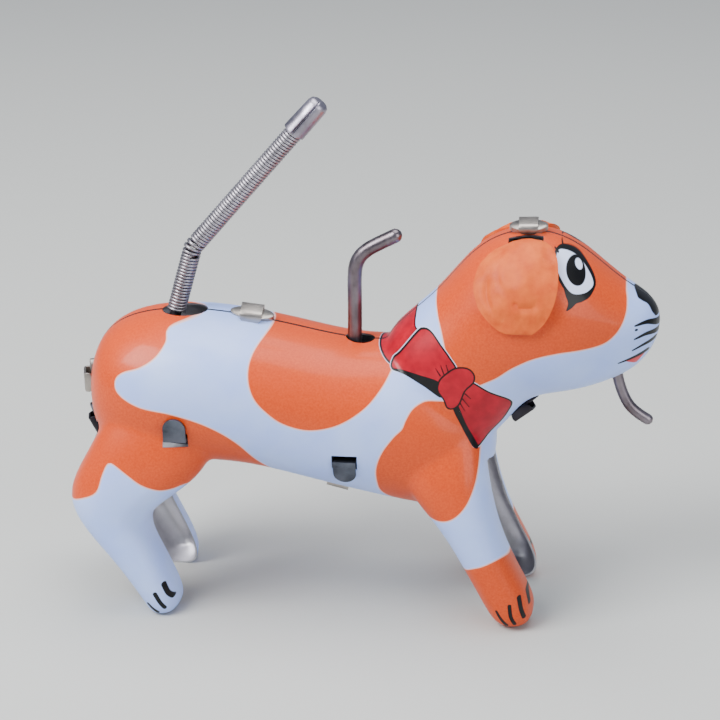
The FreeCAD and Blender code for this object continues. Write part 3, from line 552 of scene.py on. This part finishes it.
def offsetLithoTinplate():
    # Offset-printed tinplate under clear lacquer: crisp edges to each ink, a screen grain in the
    # orange, a pale line where the orange stops, and a wet gloss with a slight orange-peel.
    material, tree, shader = newMaterial("offset litho tinplate, lacquered")

    def ink(name, start=0.0, soft=0.05):
        layer = addNode(tree, "ShaderNodeAttribute", {"attribute_name": name})
        return ranged(tree, layer.outputs["Fac"], start - soft, start + soft)

    grain = surfaceNoise(tree, 0.42, 2.0)            # the screen, coarser than real so that it shows
    cloud = surfaceNoise(tree, 9.0, 3.0)
    white = blended(tree, ranged(tree, cloud, 0.35, 0.7), colour("#A4BDFD"), colour("#B3CAFF"))
    orange = blended(tree, ranged(tree, grain, 0.30, 0.70), colour("#C5400F"), colour("#D4501C"))
    orange = blended(tree, ranged(tree, cloud, 0.3, 0.75, 0.0, 0.4), orange, colour("#CB4716"))
    paint = blended(tree, ink("orangeInk"), white, orange)
    edge = addNode(tree, "ShaderNodeAttribute", {"attribute_name": "orangeInk"}).outputs["Fac"]
    away = addNode(tree, "ShaderNodeMath", {"operation": "ABSOLUTE"}, {}, {0: edge}).outputs[0]
    paint = blended(tree, ranged(tree, away, 0.10, 0.20, 0.7, 0.0), paint, colour("#F2C0B0"))
    # The eye and the three layers of the bow each have a black line round them, and a pale one.
    shade = ranged(tree, surfaceNoise(tree, 2.4, 2.0), 0.35, 0.7)
    red = blended(tree, shade, colour("#96001A"), colour("#B40022"))
    black, pale = colour("#020203"), colour("#D6E2FF")
    layers = (("eyeInk", pale, 0.50, 0.0), ("collarInk", red, 0.30, 0.36),
              ("wingInk", red, 0.36, 0.46), ("knotInk", red, 0.34, 0.0))
    for name, fill, lineWide, paleWide in layers:
        if paleWide:
            paint = blended(tree, ink(name, -paleWide), paint, pale)
        paint = blended(tree, ink(name, -lineWide), paint, black)
        paint = blended(tree, ink(name), paint, fill)
    paint = blended(tree, ink("pinkInk"), paint, colour("#CC3A44"))
    paint = blended(tree, ink("blackInk"), paint, black)
    paint = blended(tree, ink("glintInk"), paint, pale)
    chips = ranged(tree, surfaceNoise(tree, 1.1, 6.0, roughness=0.75), 0.745, 0.76)
    paint = blended(tree, chips, paint, colour("#E2CBBE"))
    tree.links.new(paint, shader.inputs["Base Color"])
    tree.links.new(ranged(tree, cloud, 0.3, 0.7, 0.34, 0.44), shader.inputs["Roughness"])
    shader.inputs["IOR"].default_value = 1.45
    shader.inputs["Specular IOR Level"].default_value = 0.30
    shader.inputs["Coat Weight"].default_value = 0.12
    shader.inputs["Coat Roughness"].default_value = 0.10
    bumped(tree, shader, surfaceNoise(tree, 1.6, 2.0), 0.10, 0.05)
    return material


def metalFinish(name, dark, light, rough, grainMm, stretch=(1, 1, 1), depthMm=0.02):
    # A bare metal: two tones of tarnish, grain along the way it was worked, uneven roughness.
    material, tree, shader = newMaterial(name)
    grain = surfaceNoise(tree, grainMm, 4.0, stretch, 0.6)
    tarnish = surfaceNoise(tree, grainMm * 9, 3.0)
    tone = blended(tree, ranged(tree, tarnish, 0.32, 0.68), colour(dark), colour(light))
    tone = blended(tree, ranged(tree, grain, 0.35, 0.7, 0.0, 0.35), tone, colour(light))
    tree.links.new(tone, shader.inputs["Base Color"])
    uneven = ranged(tree, grain, 0.3, 0.7, rough - 0.07, rough + 0.08)
    tree.links.new(uneven, shader.inputs["Roughness"])
    shader.inputs["Metallic"].default_value = 1.0
    bumped(tree, shader, grain, 0.25, depthMm)
    return material


def mouldedVinyl():
    # Soft moulded vinyl: matt, chalky, with a mottle from plasticiser and faint rubbed patches.
    material, tree, shader = newMaterial("moulded soft vinyl")
    mottle = surfaceNoise(tree, 3.2, 4.0, roughness=0.6)
    fine = surfaceNoise(tree, 0.5, 3.0)
    tone = blended(tree, ranged(tree, mottle, 0.34, 0.68), colour("#C74C12"), colour("#DC6422"))
    rubbed = ranged(tree, surfaceNoise(tree, 4.6, 5.0, roughness=0.7), 0.60, 0.72, 0.0, 0.5)
    tone = blended(tree, rubbed, tone, colour("#E2783C"))
    tree.links.new(tone, shader.inputs["Base Color"])
    tree.links.new(ranged(tree, mottle, 0.3, 0.7, 0.52, 0.66), shader.inputs["Roughness"])
    shader.inputs["Specular IOR Level"].default_value = 0.30
    shader.inputs["Subsurface Weight"].default_value = 0.08
    shader.inputs["Subsurface Radius"].default_value = (0.002, 0.001, 0.0006)
    bumped(tree, shader, fine, 0.25, 0.05)
    return material


finishes = {
    "litho": offsetLithoTinplate(),
    # Bare tinplate inside the shells and at cut edges: cool, bright and softly rippled.
    "bareTin": metalFinish("bare tinplate", "#B2B1B6", "#DAD9DF", 0.40, 1.2, depthMm=0.05),
    # Tabs and lugs turned outwards: tin scuffed by the folding tool.
    "foldedTin": metalFinish("folded tinplate, scuffed", "#7F7A74", "#B8B1AA", 0.36, 0.8, (1, 3, 1)),
    # The lugs under the throat and the rump: the same tin, painted dark as the shade that falls on them
    # there.
    "shadeDarkTin": metalFinish("folded tinplate, painted shade", "#1C1A1E", "#3B383E", 0.45, 0.8),
    # Cold-rolled strip for the motor: grey, brushed along its length.
    "strip": metalFinish("cold-rolled steel strip", "#34373F", "#636874", 0.40, 0.5, (0.3, 1, 2)),
    # Drawn wire: darker, with a brown age to it and fine draw lines.
    "wire": metalFinish("drawn steel wire, aged", "#544A4E", "#8A8188", 0.36, 0.6, (1, 1, 0.25)),
    # Spring wire: smooth, mid grey, so that the lines between its turns are the darkest thing on it.
    "spring": metalFinish("oil-tempered spring wire", "#8A868C", "#BDB9C0", 0.40, 3.0, depthMm=0.004),
    # Stamped brass wheels: warm yellow, finely tooled.
    "brass": metalFinish("stamped brass", "#9C7A38", "#D0AC5E", 0.30, 0.5),
    # The crimped cap: bright tin, dulled by handling.
    "cap": metalFinish("crimped tin, handled", "#706B76", "#B0ABB8", 0.38, 1.0, depthMm=0.10),
    "vinyl": mouldedVinyl(),
}
slotFinish = {"litho_tin": "litho", "ear_vinyl": "vinyl", "steel_sheet": "strip", "steel_wire": "wire",
              "spring_steel": "spring", "gear_brass": "brass", "bright_tin": "cap"}


def dress(piece, finish, body, slot, *replaced):
    # What every new piece needs: a finish, a body, and the CAD nodes it stands for. The slot argument
    # is not used.
    if finish:
        piece.data.materials.clear()
        piece.data.materials.append(finishes[finish])
    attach(piece, body)
    if replaced:
        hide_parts(*replaced)


def shellWall(skin, replaced):
    # The sheet gets its thickness, with bare tin on the inside and at every cut edge.
    skin.data.materials.clear()
    skin.data.materials.append(finishes["litho"])
    skin.data.materials.append(finishes["bareTin"])
    for polygon in skin.data.polygons:
        polygon.material_index = 0
    addModifier(skin, "SOLIDIFY", thickness=bodyShape["tin"], offset=-1.0, use_rim=True,
                material_offset=1, material_offset_rim=1)
    applied(skin)
    smoothShade(skin, 50)
    dress(skin, None, "body", "litho_tin", replaced)


for skin, node in ((rightSkin, "right_shell"), (leftSkin, "left_shell")):
    printed(skin)
    if skin is leftSkin:
        mirrored(skin)
    shellWall(skin, node)
    print(skin.name, len(skin.data.polygons), "polygons")

seamJoints = {
    "places": (  # X, Z, direction of the outward normal in degrees, size, finish
        ("backLug", -21.6, 59.9, 84, 1.0, "foldedTin"),
        ("headLug", 33.0, 79.9, 92, 0.85, "foldedTin"),
        # the throat and under-rump lugs take the tin painted dark as painted shade
        ("throatLug", 32.2, 42.7, -52, 1.0, "shadeDarkTin"),
        ("rumpLug", -54.1, 45.4, 182, 0.9, "foldedTin"),
        ("underLug", -52.9, 36.4, 208, 0.9, "shadeDarkTin"),
        ("bellyLug", -4.0, 25.8, -104, 1.0, "foldedTin")),
    # The lug: a lens that leans towards the near shell, sunk a little and domed inside its border.
    "length": 8.8, "halfWide": 2.3, "taper": 0.12, "lean": 13, "sunk": 0.35, "rise": 0.55,
    "border": 0.35, "dome": 0.18,
    # The tab: where it comes up, its two bends, and how far it reaches over the near shell.
    "tabWide": 4.5, "tabSheet": 0.45, "slotSide": 1.15, "standOff": 2.0, "firstBend": 0.55,
    "secondBend": 0.9, "tabReach": 3.0,
}


def along(x, z, angle):
    # The frame of a seam joint: origin, outward normal, way along the seam.
    turn = math.radians(angle)
    out = Vector((math.cos(turn), 0, math.sin(turn)))
    return side(x, z), out, out.cross(Vector((0, 1, 0)))


def stood(bm, origin, out, way):
    # Turn a piece drawn with X along the seam, Y across and Z outward into its place.
    lean = Matrix.Rotation(math.radians(seamJoints["lean"]), 4, "X")      # towards the near shell
    turn = Matrix((way, Vector((0, 1, 0)), out)).transposed().to_4x4() @ lean
    bmesh.ops.transform(bm, matrix=Matrix.Translation(origin) @ turn, verts=bm.verts)
    bmesh.ops.recalc_face_normals(bm, faces=bm.faces)


def seamLug(name, origin, out, way):
    # The lens-shaped crimp that both shells share, domed a little.
    s = seamJoints
    bm = bmesh.new()
    bmesh.ops.create_circle(bm, cap_ends=True, segments=40, radius=s["length"] / 2 * mm)
    for vert in bm.verts:
        share = abs(vert.co.x) / (s["length"] / 2 * mm)
        vert.co.y *= s["halfWide"] * 2 / s["length"] * (1 - s["taper"] * share)
    bmesh.ops.translate(bm, verts=bm.verts, vec=(0, 0, -s["sunk"] * mm))
    grown = bmesh.ops.extrude_face_region(bm, geom=bm.faces[:])
    top = [v for v in grown["geom"] if isinstance(v, bmesh.types.BMVert)]
    bmesh.ops.translate(bm, verts=top, vec=(0, 0, (s["rise"] + s["sunk"]) * mm))
    lid = [f for f in bm.faces if all(v in top for v in f.verts)]
    bmesh.ops.inset_region(bm, faces=lid, thickness=s["border"] * mm, use_even_offset=True)
    middle = list({v for f in lid for v in f.verts})
    bmesh.ops.translate(bm, verts=middle, vec=(0, 0, s["dome"] * mm))
    stood(bm, origin, out, way)
    return newObject(name, bm)


def foldedTab(name, origin, out, way):
    # A strip that comes up through the lug and is folded down over the near shell.
    s = seamJoints
    high, reach, sideways = s["standOff"], s["tabReach"], s["slotSide"]
    first, second = s["firstBend"], s["secondBend"]
    path = [(sideways, -0.6), (sideways, high - first)]
    for turn in range(15, 91, 15):            # up out of the slot and over towards the near shell
        a = math.radians(turn)
        path.append((sideways - first * (1 - math.cos(a)), high - first * (1 - math.sin(a))))
    for turn in range(0, 76, 15):             # and down again on the near side
        a = math.radians(turn)
        path.append((-reach + second * (1 - math.sin(a)), high - second * (1 - math.cos(a))))
    path += [(-reach - 0.05, high - 1.25), (-reach - 0.12, high - 1.75)]
    halves = [s["tabWide"] / 2 * narrow for narrow in [1.0] * (len(path) - 2) + [0.92, 0.66]]
    bm = sheetThrough([[Vector((half * share, y, z)) * mm for share in (-1, -0.4, 0.4, 1)]
                       for half, (y, z) in zip(halves, path)])
    stood(bm, origin, out, way)
    tab = newObject(name, bm)
    addModifier(tab, "SOLIDIFY", thickness=s["tabSheet"] * mm, offset=0.0)
    addModifier(tab, "BEVEL", width=0.10 * mm, segments=3, limit_method="ANGLE",
                angle_limit=math.radians(50))
    return applied(tab)


for name, x, z, angle, size, finish in seamJoints["places"]:
    origin, out, way = along(x, z, angle)
    lug = seamLug(name, origin, out, way * size)
    smoothShade(lug, 35)
    dress(lug, finish, "body", "bright_tin")
    tab = foldedTab(name.replace("Lug", "Tab"), origin, out * size, way * size)
    smoothShade(tab, 60)
    dress(tab, finish, "body", "bright_tin")
print("seam joints made")

earShape = {
    "axis": (0.0, 64.0),       # Y and Z of the line that the ear wraps round, mm
    "rows": (                  # angle above the horizontal, rear and front edge X, standoff mm
        (71, 29.8, 36.0, 0.3), (66, 27.0, 37.4, 0.9), (58, 24.8, 38.4, 1.3), (48, 23.4, 39.0, 1.5),
        (36, 22.8, 39.2, 1.6), (24, 23.1, 38.9, 1.6), (13, 24.2, 37.9, 1.5), (4, 26.2, 36.4, 1.3),
        (-2, 28.8, 34.4, 1.1)),
    "columns": 14,
    "thick": 1.15,
    "puff": 0.7,               # how far the middle stands out further than the edges, mm
    "castFrom": 60,            # where the rays towards the head start, mm from the axis
    "edge": 0.38,
}


def earFlap(name, skinTree):
    # A flap laid over the head: rows of points round the head's side, thickened and softened.
    e = earShape
    lastRow = len(e["rows"]) - 2
    rows = []
    for number, (angle, rear, front, gap) in enumerate(e["rows"]):
        turn = math.radians(angle)
        outward = Vector((0, -math.cos(turn), math.sin(turn)))
        row = []
        for i in range(e["columns"] + 1):
            share = i / e["columns"]
            middle = Vector((rear + (front - rear) * share, e["axis"][0], e["axis"][1])) * mm
            found = skinTree.ray_cast(middle + outward * e["castFrom"] * mm, -outward)[0]
            swell = e["puff"] * math.sin(math.pi * share) * math.sin(math.pi * min(number / lastRow, 1))
            row.append(found + outward * (gap + swell) * mm)
        rows.append(row)
    bm = sheetThrough(rows)
    bmesh.ops.recalc_face_normals(bm, faces=bm.faces)
    bm.normal_update()
    if sum(f.normal.y for f in bm.faces) > 0:          # the faces have to look away from the head
        bmesh.ops.reverse_faces(bm, faces=bm.faces)
    bmesh.ops.smooth_vert(bm, verts=[v for v in bm.verts if not v.is_boundary], factor=0.5,
                          use_axis_x=True, use_axis_y=True, use_axis_z=True)
    ear = newObject(name, bm)
    addModifier(ear, "SUBSURF", levels=2, render_levels=2)
    applied(ear)
    wrinkled(ear)
    addModifier(ear, "SOLIDIFY", thickness=e["thick"] * mm, offset=-1.0)
    addModifier(ear, "BEVEL", width=e["edge"] * mm, segments=3, limit_method="ANGLE",
                angle_limit=math.radians(55))
    return applied(ear)


earFolds = {
    "arcs": (  # X, Z of the fold's middle, radius, start and end angle, depth mm
        (33.0, 71.6, 3.0, 205, 330, 0.55), (30.4, 71.4, 5.2, 150, 240, 0.55),
        (31.0, 74.6, 3.6, 185, 300, 0.30)),
    "halfWide": 0.5, "fade": 25,                     # mm, and degrees at each end
    "lumps": ((3.2, 0.34), (1.4, 0.14)),             # size and height, mm
}


def wrinkled(ear):
    # Low lumps all over, and a few arcs pressed in as shallow folds.
    bm = bmesh.new()
    bm.from_mesh(ear.data)
    bm.normal_update()
    for vert in bm.verts:
        x, z = vert.co.x / mm, vert.co.z / mm
        lump = sum(high * noise.noise(vert.co / (size * mm)) for size, high in earFolds["lumps"])
        for foldX, foldZ, radius, start, end, depth in earFolds["arcs"]:
            away = math.hypot(x - foldX, z - foldZ)
            turn = math.degrees(math.atan2(z - foldZ, x - foldX)) % 360
            if start <= turn <= end:
                edge = min(turn - start, end - turn) / earFolds["fade"]
                across = (away - radius) / earFolds["halfWide"]
                lump -= depth * min(edge, 1.0) * math.exp(-across ** 2)
        vert.co += vert.normal * lump * mm
    bm.to_mesh(ear.data)
    bm.free()


headTree = BVHTree.FromObject(form, bpy.context.evaluated_depsgraph_get())
for name, flip in (("rightEar", False), ("leftEar", True)):
    ear = earFlap(name, headTree)
    if flip:
        mirrored(ear)
    smoothShade(ear, 60)
    dress(ear, "vinyl", "body", "ear_vinyl", "right_ear" if name == "rightEar" else "left_ear")
bpy.data.objects.remove(form)
print("ears made")


def domed(points, radius):
    # Centre points and radii of a wire with ball ends.
    ends = [(math.sin(a), max(math.cos(a), 0.05)) for a in np.linspace(0, math.pi / 2, 6)]
    first = (points[0] - points[1]).normalized()
    last = (points[-1] - points[-2]).normalized()
    rings = [(points[0] + first * radius * out, wide * radius) for out, wide in reversed(ends)]
    rings += [(p, radius) for p in points[1:-1]]
    rings += [(points[-1] + last * radius * out, wide * radius) for out, wide in ends]
    return rings


def bentWire(name, points, radius, segments=20):
    # A round wire along a smooth line with rounded ends, ring bridged to ring.
    curve = bpy.data.curves.new(name, "CURVE")
    curve.dimensions = "3D"
    spline = curve.splines.new("NURBS")
    spline.points.add(len(points) - 1)
    for point, place in zip(spline.points, points):
        point.co = (*place, 1)
    spline.order_u, spline.use_endpoint_u, spline.resolution_u = 3, True, 12
    guide = bpy.data.objects.new(name, curve)
    bpy.context.scene.collection.objects.link(guide)
    depsgraph = bpy.context.evaluated_depsgraph_get()
    line = bpy.data.meshes.new_from_object(guide.evaluated_get(depsgraph))
    centres = [v.co.copy() for v in line.vertices]
    bpy.data.objects.remove(guide)
    centres = [centres[0]] + [c for b, c in zip(centres, centres[1:]) if (c - b).length > 1e-6]
    rings = domed(centres, radius)
    bm = bmesh.new()
    loops = []
    for index, (centre, wide) in enumerate(rings):
        before, after = rings[max(index - 1, 0)][0], rings[min(index + 1, len(rings) - 1)][0]
        way = (after - before).normalized()
        across = Vector((0, 1, 0)) if abs(way.y) < 0.9 else Vector((1, 0, 0))
        up = way.cross(across).normalized()
        turn = Matrix((up.cross(way), up, way)).transposed().to_4x4()
        made = bmesh.ops.create_circle(bm, segments=segments, radius=wide,
                                       matrix=Matrix.Translation(centre) @ turn)
        ring = set(made["verts"])
        loops.append([e for e in bm.edges if e.verts[0] in ring and e.verts[1] in ring])
    for first, second in zip(loops, loops[1:]):
        bmesh.ops.bridge_loops(bm, edges=first + second)
    for end in (loops[0], loops[-1]):
        bmesh.ops.contextual_create(bm, geom=end)
    bmesh.ops.recalc_face_normals(bm, faces=bm.faces)
    return newObject(name, bm)


wires = {
    "back": ((-1.2, 48.7), (-1.0, 56.0), (-1.0, 63.0), (-1.1, 68.4), (-0.9, 70.9), (-0.1, 72.8),
             (1.3, 74.2), (3.4, 75.5), (6.9, 77.3)),
    "backRadius": 1.43,
    "chin": ((50.2, 57.4), (50.7, 53.0), (51.5, 48.6), (53.0, 44.6), (55.0, 42.0), (57.6, 40.5)),
    "chinRadius": 1.1,
    "crossHalf": 7.8, "crossPlace": (50.2, 57.5),
}
backWire = bentWire("backWire", [side(*p) for p in wires["back"]], wires["backRadius"] * mm)
smoothShade(backWire, 60)
dress(backWire, "wire", "stop_lever", "steel_wire", "back_wire")
chinWire = bentWire("chinWire", [side(*p) for p in wires["chin"]], wires["chinRadius"] * mm)
crossPoints = [side(*wires["crossPlace"], y) for y in (-wires["crossHalf"], -3, 3, wires["crossHalf"])]
crossBar = bentWire("crossBar", crossPoints, wires["chinRadius"] * mm)
for piece, replaced in ((chinWire, ("chin_wire",)), (crossBar, ())):
    smoothShade(piece, 60)
    dress(piece, "wire", "body", "steel_wire", *replaced)
print("wires made")

tailShape = {
    "pivot": (-40.2, 48.3), "lean": 15.4, "bend": 40.3, "kinkReach": 26.3,
    "wire": 0.31, "coil": 1.62, "pitch": 0.655,     # wire radius, coil radius to the wire's middle
    "lowerStart": 12.6, "lowerEnd": 24.9, "upperStart": 1.5, "upperEnd": 32.2,
    "capStart": 31.7, "capLength": 8.0, "capRadius": 2.35, "capSheet": 0.35,
    "lapStart": 104, "lapAngle": 120,               # degrees round the cap
    "lapLift": 0.13, "lapGroove": 0.12,             # shares of its radius
}


def tailWay(angle):
    turn = math.radians(angle)
    return Vector((math.sin(turn), 0, math.cos(turn)))


kink = side(*tailShape["pivot"]) + tailWay(tailShape["lean"]) * tailShape["kinkReach"] * mm
rodWay, coilWay = tailWay(tailShape["lean"]), tailWay(tailShape["bend"])


def helix(name, start, way, length, pitch):
    # Close-wound wire: one small circle spun round the axis and moved along it at each step.
    t = tailShape
    turns = length / pitch
    stepsPerTurn = 18
    steps = round(turns * stepsPerTurn)
    bm = bmesh.new()
    bmesh.ops.create_circle(bm, cap_ends=True, segments=7, radius=t["wire"] * mm)
    bmesh.ops.rotate(bm, verts=bm.verts, matrix=Matrix.Rotation(math.radians(90), 3, "X"))
    bmesh.ops.translate(bm, verts=bm.verts, vec=(t["coil"] * mm, 0, 0))
    bmesh.ops.spin(bm, geom=bm.faces[:] + bm.edges[:] + bm.verts[:], cent=(0, 0, 0), axis=(0, 0, 1),
                   dvec=(0, 0, length * mm / steps), angle=2 * math.pi * turns, steps=steps)
    bmesh.ops.recalc_face_normals(bm, faces=bm.faces)
    turn = Vector((0, 0, 1)).rotation_difference(way).to_matrix()
    bmesh.ops.rotate(bm, verts=bm.verts, matrix=turn)
    bmesh.ops.translate(bm, verts=bm.verts, vec=start)
    coil = newObject(name, bm)
    smoothShade(coil, 60)
    return coil


pivot = side(*tailShape["pivot"])
lowerLength = tailShape["lowerEnd"] - tailShape["lowerStart"]
lowerCoil = helix("lowerCoil", pivot + rodWay * tailShape["lowerStart"] * mm, rodWay, lowerLength,
                  tailShape["pitch"])
dress(lowerCoil, "spring", "tail", "spring_steel", "lower_tail_spring")
upperLength = tailShape["upperEnd"] - tailShape["upperStart"]
upperCoil = helix("upperCoil", kink + coilWay * tailShape["upperStart"] * mm, coilWay, upperLength,
                  tailShape["pitch"])
dress(upperCoil, "spring", "tail_top", "spring_steel", "upper_tail_spring")


def kinkCoil():
    # The three turns that the bend has opened on the rear side.
    gap = tailShape["kinkReach"] - tailShape["lowerEnd"] + tailShape["upperStart"]
    coil = helix("kinkCoil", Vector((0, 0, 0)), Vector((0, 0, 1)), gap, gap / 3.2)
    start = pivot + rodWay * tailShape["lowerEnd"] * mm
    end = kink + coilWay * tailShape["upperStart"] * mm
    bm = bmesh.new()
    bm.from_mesh(coil.data)
    for vert in bm.verts:
        share = min(max(vert.co.z / (gap * mm), 0), 1)
        way = rodWay.lerp(coilWay, share).normalized()
        centre = start.lerp(kink, share * 2) if share < 0.5 else kink.lerp(end, share * 2 - 1)
        sideways = Vector((0, 1, 0))
        vert.co = centre + sideways.cross(way) * vert.co.x + sideways * vert.co.y \
            + way * (vert.co.z - share * gap * mm)
    bmesh.ops.recalc_face_normals(bm, faces=bm.faces)
    bm.to_mesh(coil.data)
    bm.free()
    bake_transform(coil)
    coil.data.materials.append(finishes["spring"])


kinkCoil()


def crimpedCap():
    # A strip of tin rolled round the coil's end, lapped along one side and pinched at the tip.
    t = tailShape
    bm = bmesh.new()
    loops = []
    for share, wide, flat in ((0.0, 1.0, 1.0), (0.06, 1.0, 1.0), (0.5, 1.0, 1.0), (0.86, 0.97, 0.95),
                              (0.95, 0.86, 0.80), (1.0, 0.62, 0.52)):
        made = bmesh.ops.create_circle(bm, segments=96, radius=t["capRadius"] * mm)
        for vert in made["verts"]:
            turn = math.degrees(math.atan2(vert.co.y, vert.co.x))
            past = (-turn - t["lapStart"]) % 360      # degrees past the edge of the lapped sheet
            lift = t["lapLift"] * (1 + 1.3 * max(0.0, 1 - share / 0.35)) * (1 - share ** 6)
            lap = 1.0 + lift * max(0.0, 1 - past / t["lapAngle"])
            if past > 350:                            # the narrow groove beside the lap
                lap -= t["lapGroove"]
            vert.co.x *= wide * lap * 0.93
            vert.co.y *= flat * lap
            vert.co.z = share * t["capLength"] * mm
        ring = set(made["verts"])
        loops.append([e for e in bm.edges if e.verts[0] in ring and e.verts[1] in ring])
    for first, second in zip(loops, loops[1:]):
        bmesh.ops.bridge_loops(bm, edges=first + second)
    bmesh.ops.contextual_create(bm, geom=loops[-1])
    bmesh.ops.recalc_face_normals(bm, faces=bm.faces)
    turn = Vector((0, 0, 1)).rotation_difference(coilWay).to_matrix()
    bmesh.ops.rotate(bm, verts=bm.verts, matrix=turn)
    bmesh.ops.translate(bm, verts=bm.verts, vec=kink + coilWay * t["capStart"] * mm)
    cap = newObject("crimpedCap", bm)
    addModifier(cap, "SOLIDIFY", thickness=t["capSheet"] * mm, offset=-1.0)
    addModifier(cap, "BEVEL", width=0.12 * mm, segments=2, limit_method="ANGLE",
                angle_limit=math.radians(50))
    applied(cap)
    smoothShade(cap, 45)
    dress(cap, "cap", "tail_top", "bright_tin", "tail_cap")


crimpedCap()
print("tail made")

feet = {
    "places": ((-35.1, 38.8, 1.0), (-1.6, 35.4, -1.0)),  # X, Z of each slot, way it is folded
    "wide": 4.5, "arch": 2.25, "bevel": 0.12,
    "outside": 12.0, "cutTo": 19.5,                       # Y where the feet are looked for and cut
}


def roundedFeet(node, name, sign):
    # The frame's side plate with its folded feet arched at the tip and its cut edges softened.
    source = nodes[node]
    bm = bmesh.new()
    bm.from_mesh(source.data)
    bmesh.ops.remove_doubles(bm, verts=bm.verts, dist=0.002 * mm)
    plate = newObject(name, bm)
    for x, z, way in feet["places"]:
        tipZ = max((v.co.z for v in plate.data.vertices if abs(v.co.x - x * mm) < 3 * mm
                    and abs(v.co.y) > feet["outside"] * mm), key=lambda h: h * way)
        half = feet["wide"] / 2
        for hand in (-1, 1):
            corner = [(x + hand * (half + 1), tipZ / mm + way), (x, tipZ / mm + way)]
            for turn in np.linspace(90, 0, 9):
                a = math.radians(turn)
                corner.append((x + hand * half * math.cos(a),
                               tipZ / mm - way * (feet["arch"] - feet["arch"] * math.sin(a))))
            corner.append((x + hand * (half + 1), tipZ / mm - way * feet["arch"]))
            cutter = outline(corner, sign * feet["outside"], sign * feet["cutTo"], "archCut")
            addModifier(plate, "BOOLEAN", operation="DIFFERENCE", object=cutter, solver="EXACT")
            applied(plate)
            bpy.data.objects.remove(cutter)
    addModifier(plate, "BEVEL", width=feet["bevel"] * mm, segments=2, limit_method="ANGLE",
                angle_limit=math.radians(50))
    applied(plate)
    smoothShade(plate, 40)
    dress(plate, "strip", "body", "steel_sheet", node)


roundedFeet("right_plate", "rightPlate", -1)
roundedFeet("left_plate", "leftPlate", 1)

replacedByNew = {"right_shell", "left_shell", "right_ear", "left_ear", "back_wire", "chin_wire",
                 "lower_tail_spring", "upper_tail_spring", "tail_cap", "right_plate", "left_plate"}
slots = {part["node"]: part["material_slot"] for part in frame["record"]["subparts"]}
for node, piece in nodes.items():
    if node in replacedByNew:
        continue
    for slot in piece.material_slots:
        slot.material = finishes[slotFinish[slots[node]]]
print("carried-over nodes dressed")

studio = {
    "azimuth": 5.5, "elevation": 21.0, "distance": 0.48, "lens": 120, "aim": Vector((0, 0, 0.051)),
    "lamps": (  # name, place in metres, watts, size in metres
        ("window", (-0.42, -0.30, 0.55), 9.0, 0.40),
        ("overhead", (0.05, 0.10, 0.80), 6.5, 0.60),
        ("fill", (0.60, -0.55, 0.35), 3.5, 0.50)),
    "sky": "#DCE7FF", "skyStrength": 0.40,
}


def setStage():
    azimuth, elevation = math.radians(studio["azimuth"]), math.radians(studio["elevation"])
    back = Vector((math.sin(azimuth) * math.cos(elevation), -math.cos(azimuth) * math.cos(elevation),
                   math.sin(elevation)))
    camera = bpy.data.objects.new("camera", bpy.data.cameras.new("camera"))
    bpy.context.scene.collection.objects.link(camera)
    camera.location = studio["aim"] + back * studio["distance"]
    camera.rotation_euler = (-back).to_track_quat("-Z", "Y").to_euler()
    camera.data.lens = studio["lens"]
    camera.data.clip_start = 0.01
    bpy.context.scene.camera = camera
    for name, place, power, size in studio["lamps"]:
        lamp = bpy.data.objects.new(name, bpy.data.lights.new(name, "AREA"))
        bpy.context.scene.collection.objects.link(lamp)
        lamp.location = place
        lamp.rotation_euler = (studio["aim"] - Vector(place)).to_track_quat("-Z", "Y").to_euler()
        lamp.data.energy, lamp.data.size = power, size
    world = bpy.data.worlds.new("studio")
    bpy.context.scene.world = world
    world.use_nodes = True
    background = world.node_tree.nodes["Background"]
    background.inputs["Color"].default_value = colour(studio["sky"])
    background.inputs["Strength"].default_value = studio["skyStrength"]
    bm = bmesh.new()
    bmesh.ops.create_grid(bm, x_segments=1, y_segments=1, size=1.5)
    floor = newObject("floor", bm)
    paper, tree, shader = newMaterial("matt pale paper")     # flat and soft, takes only a shadow
    shader.inputs["Base Color"].default_value = colour("#BDBEBA")
    shader.inputs["Roughness"].default_value = 0.8
    floor.data.materials.append(paper)


setStage()
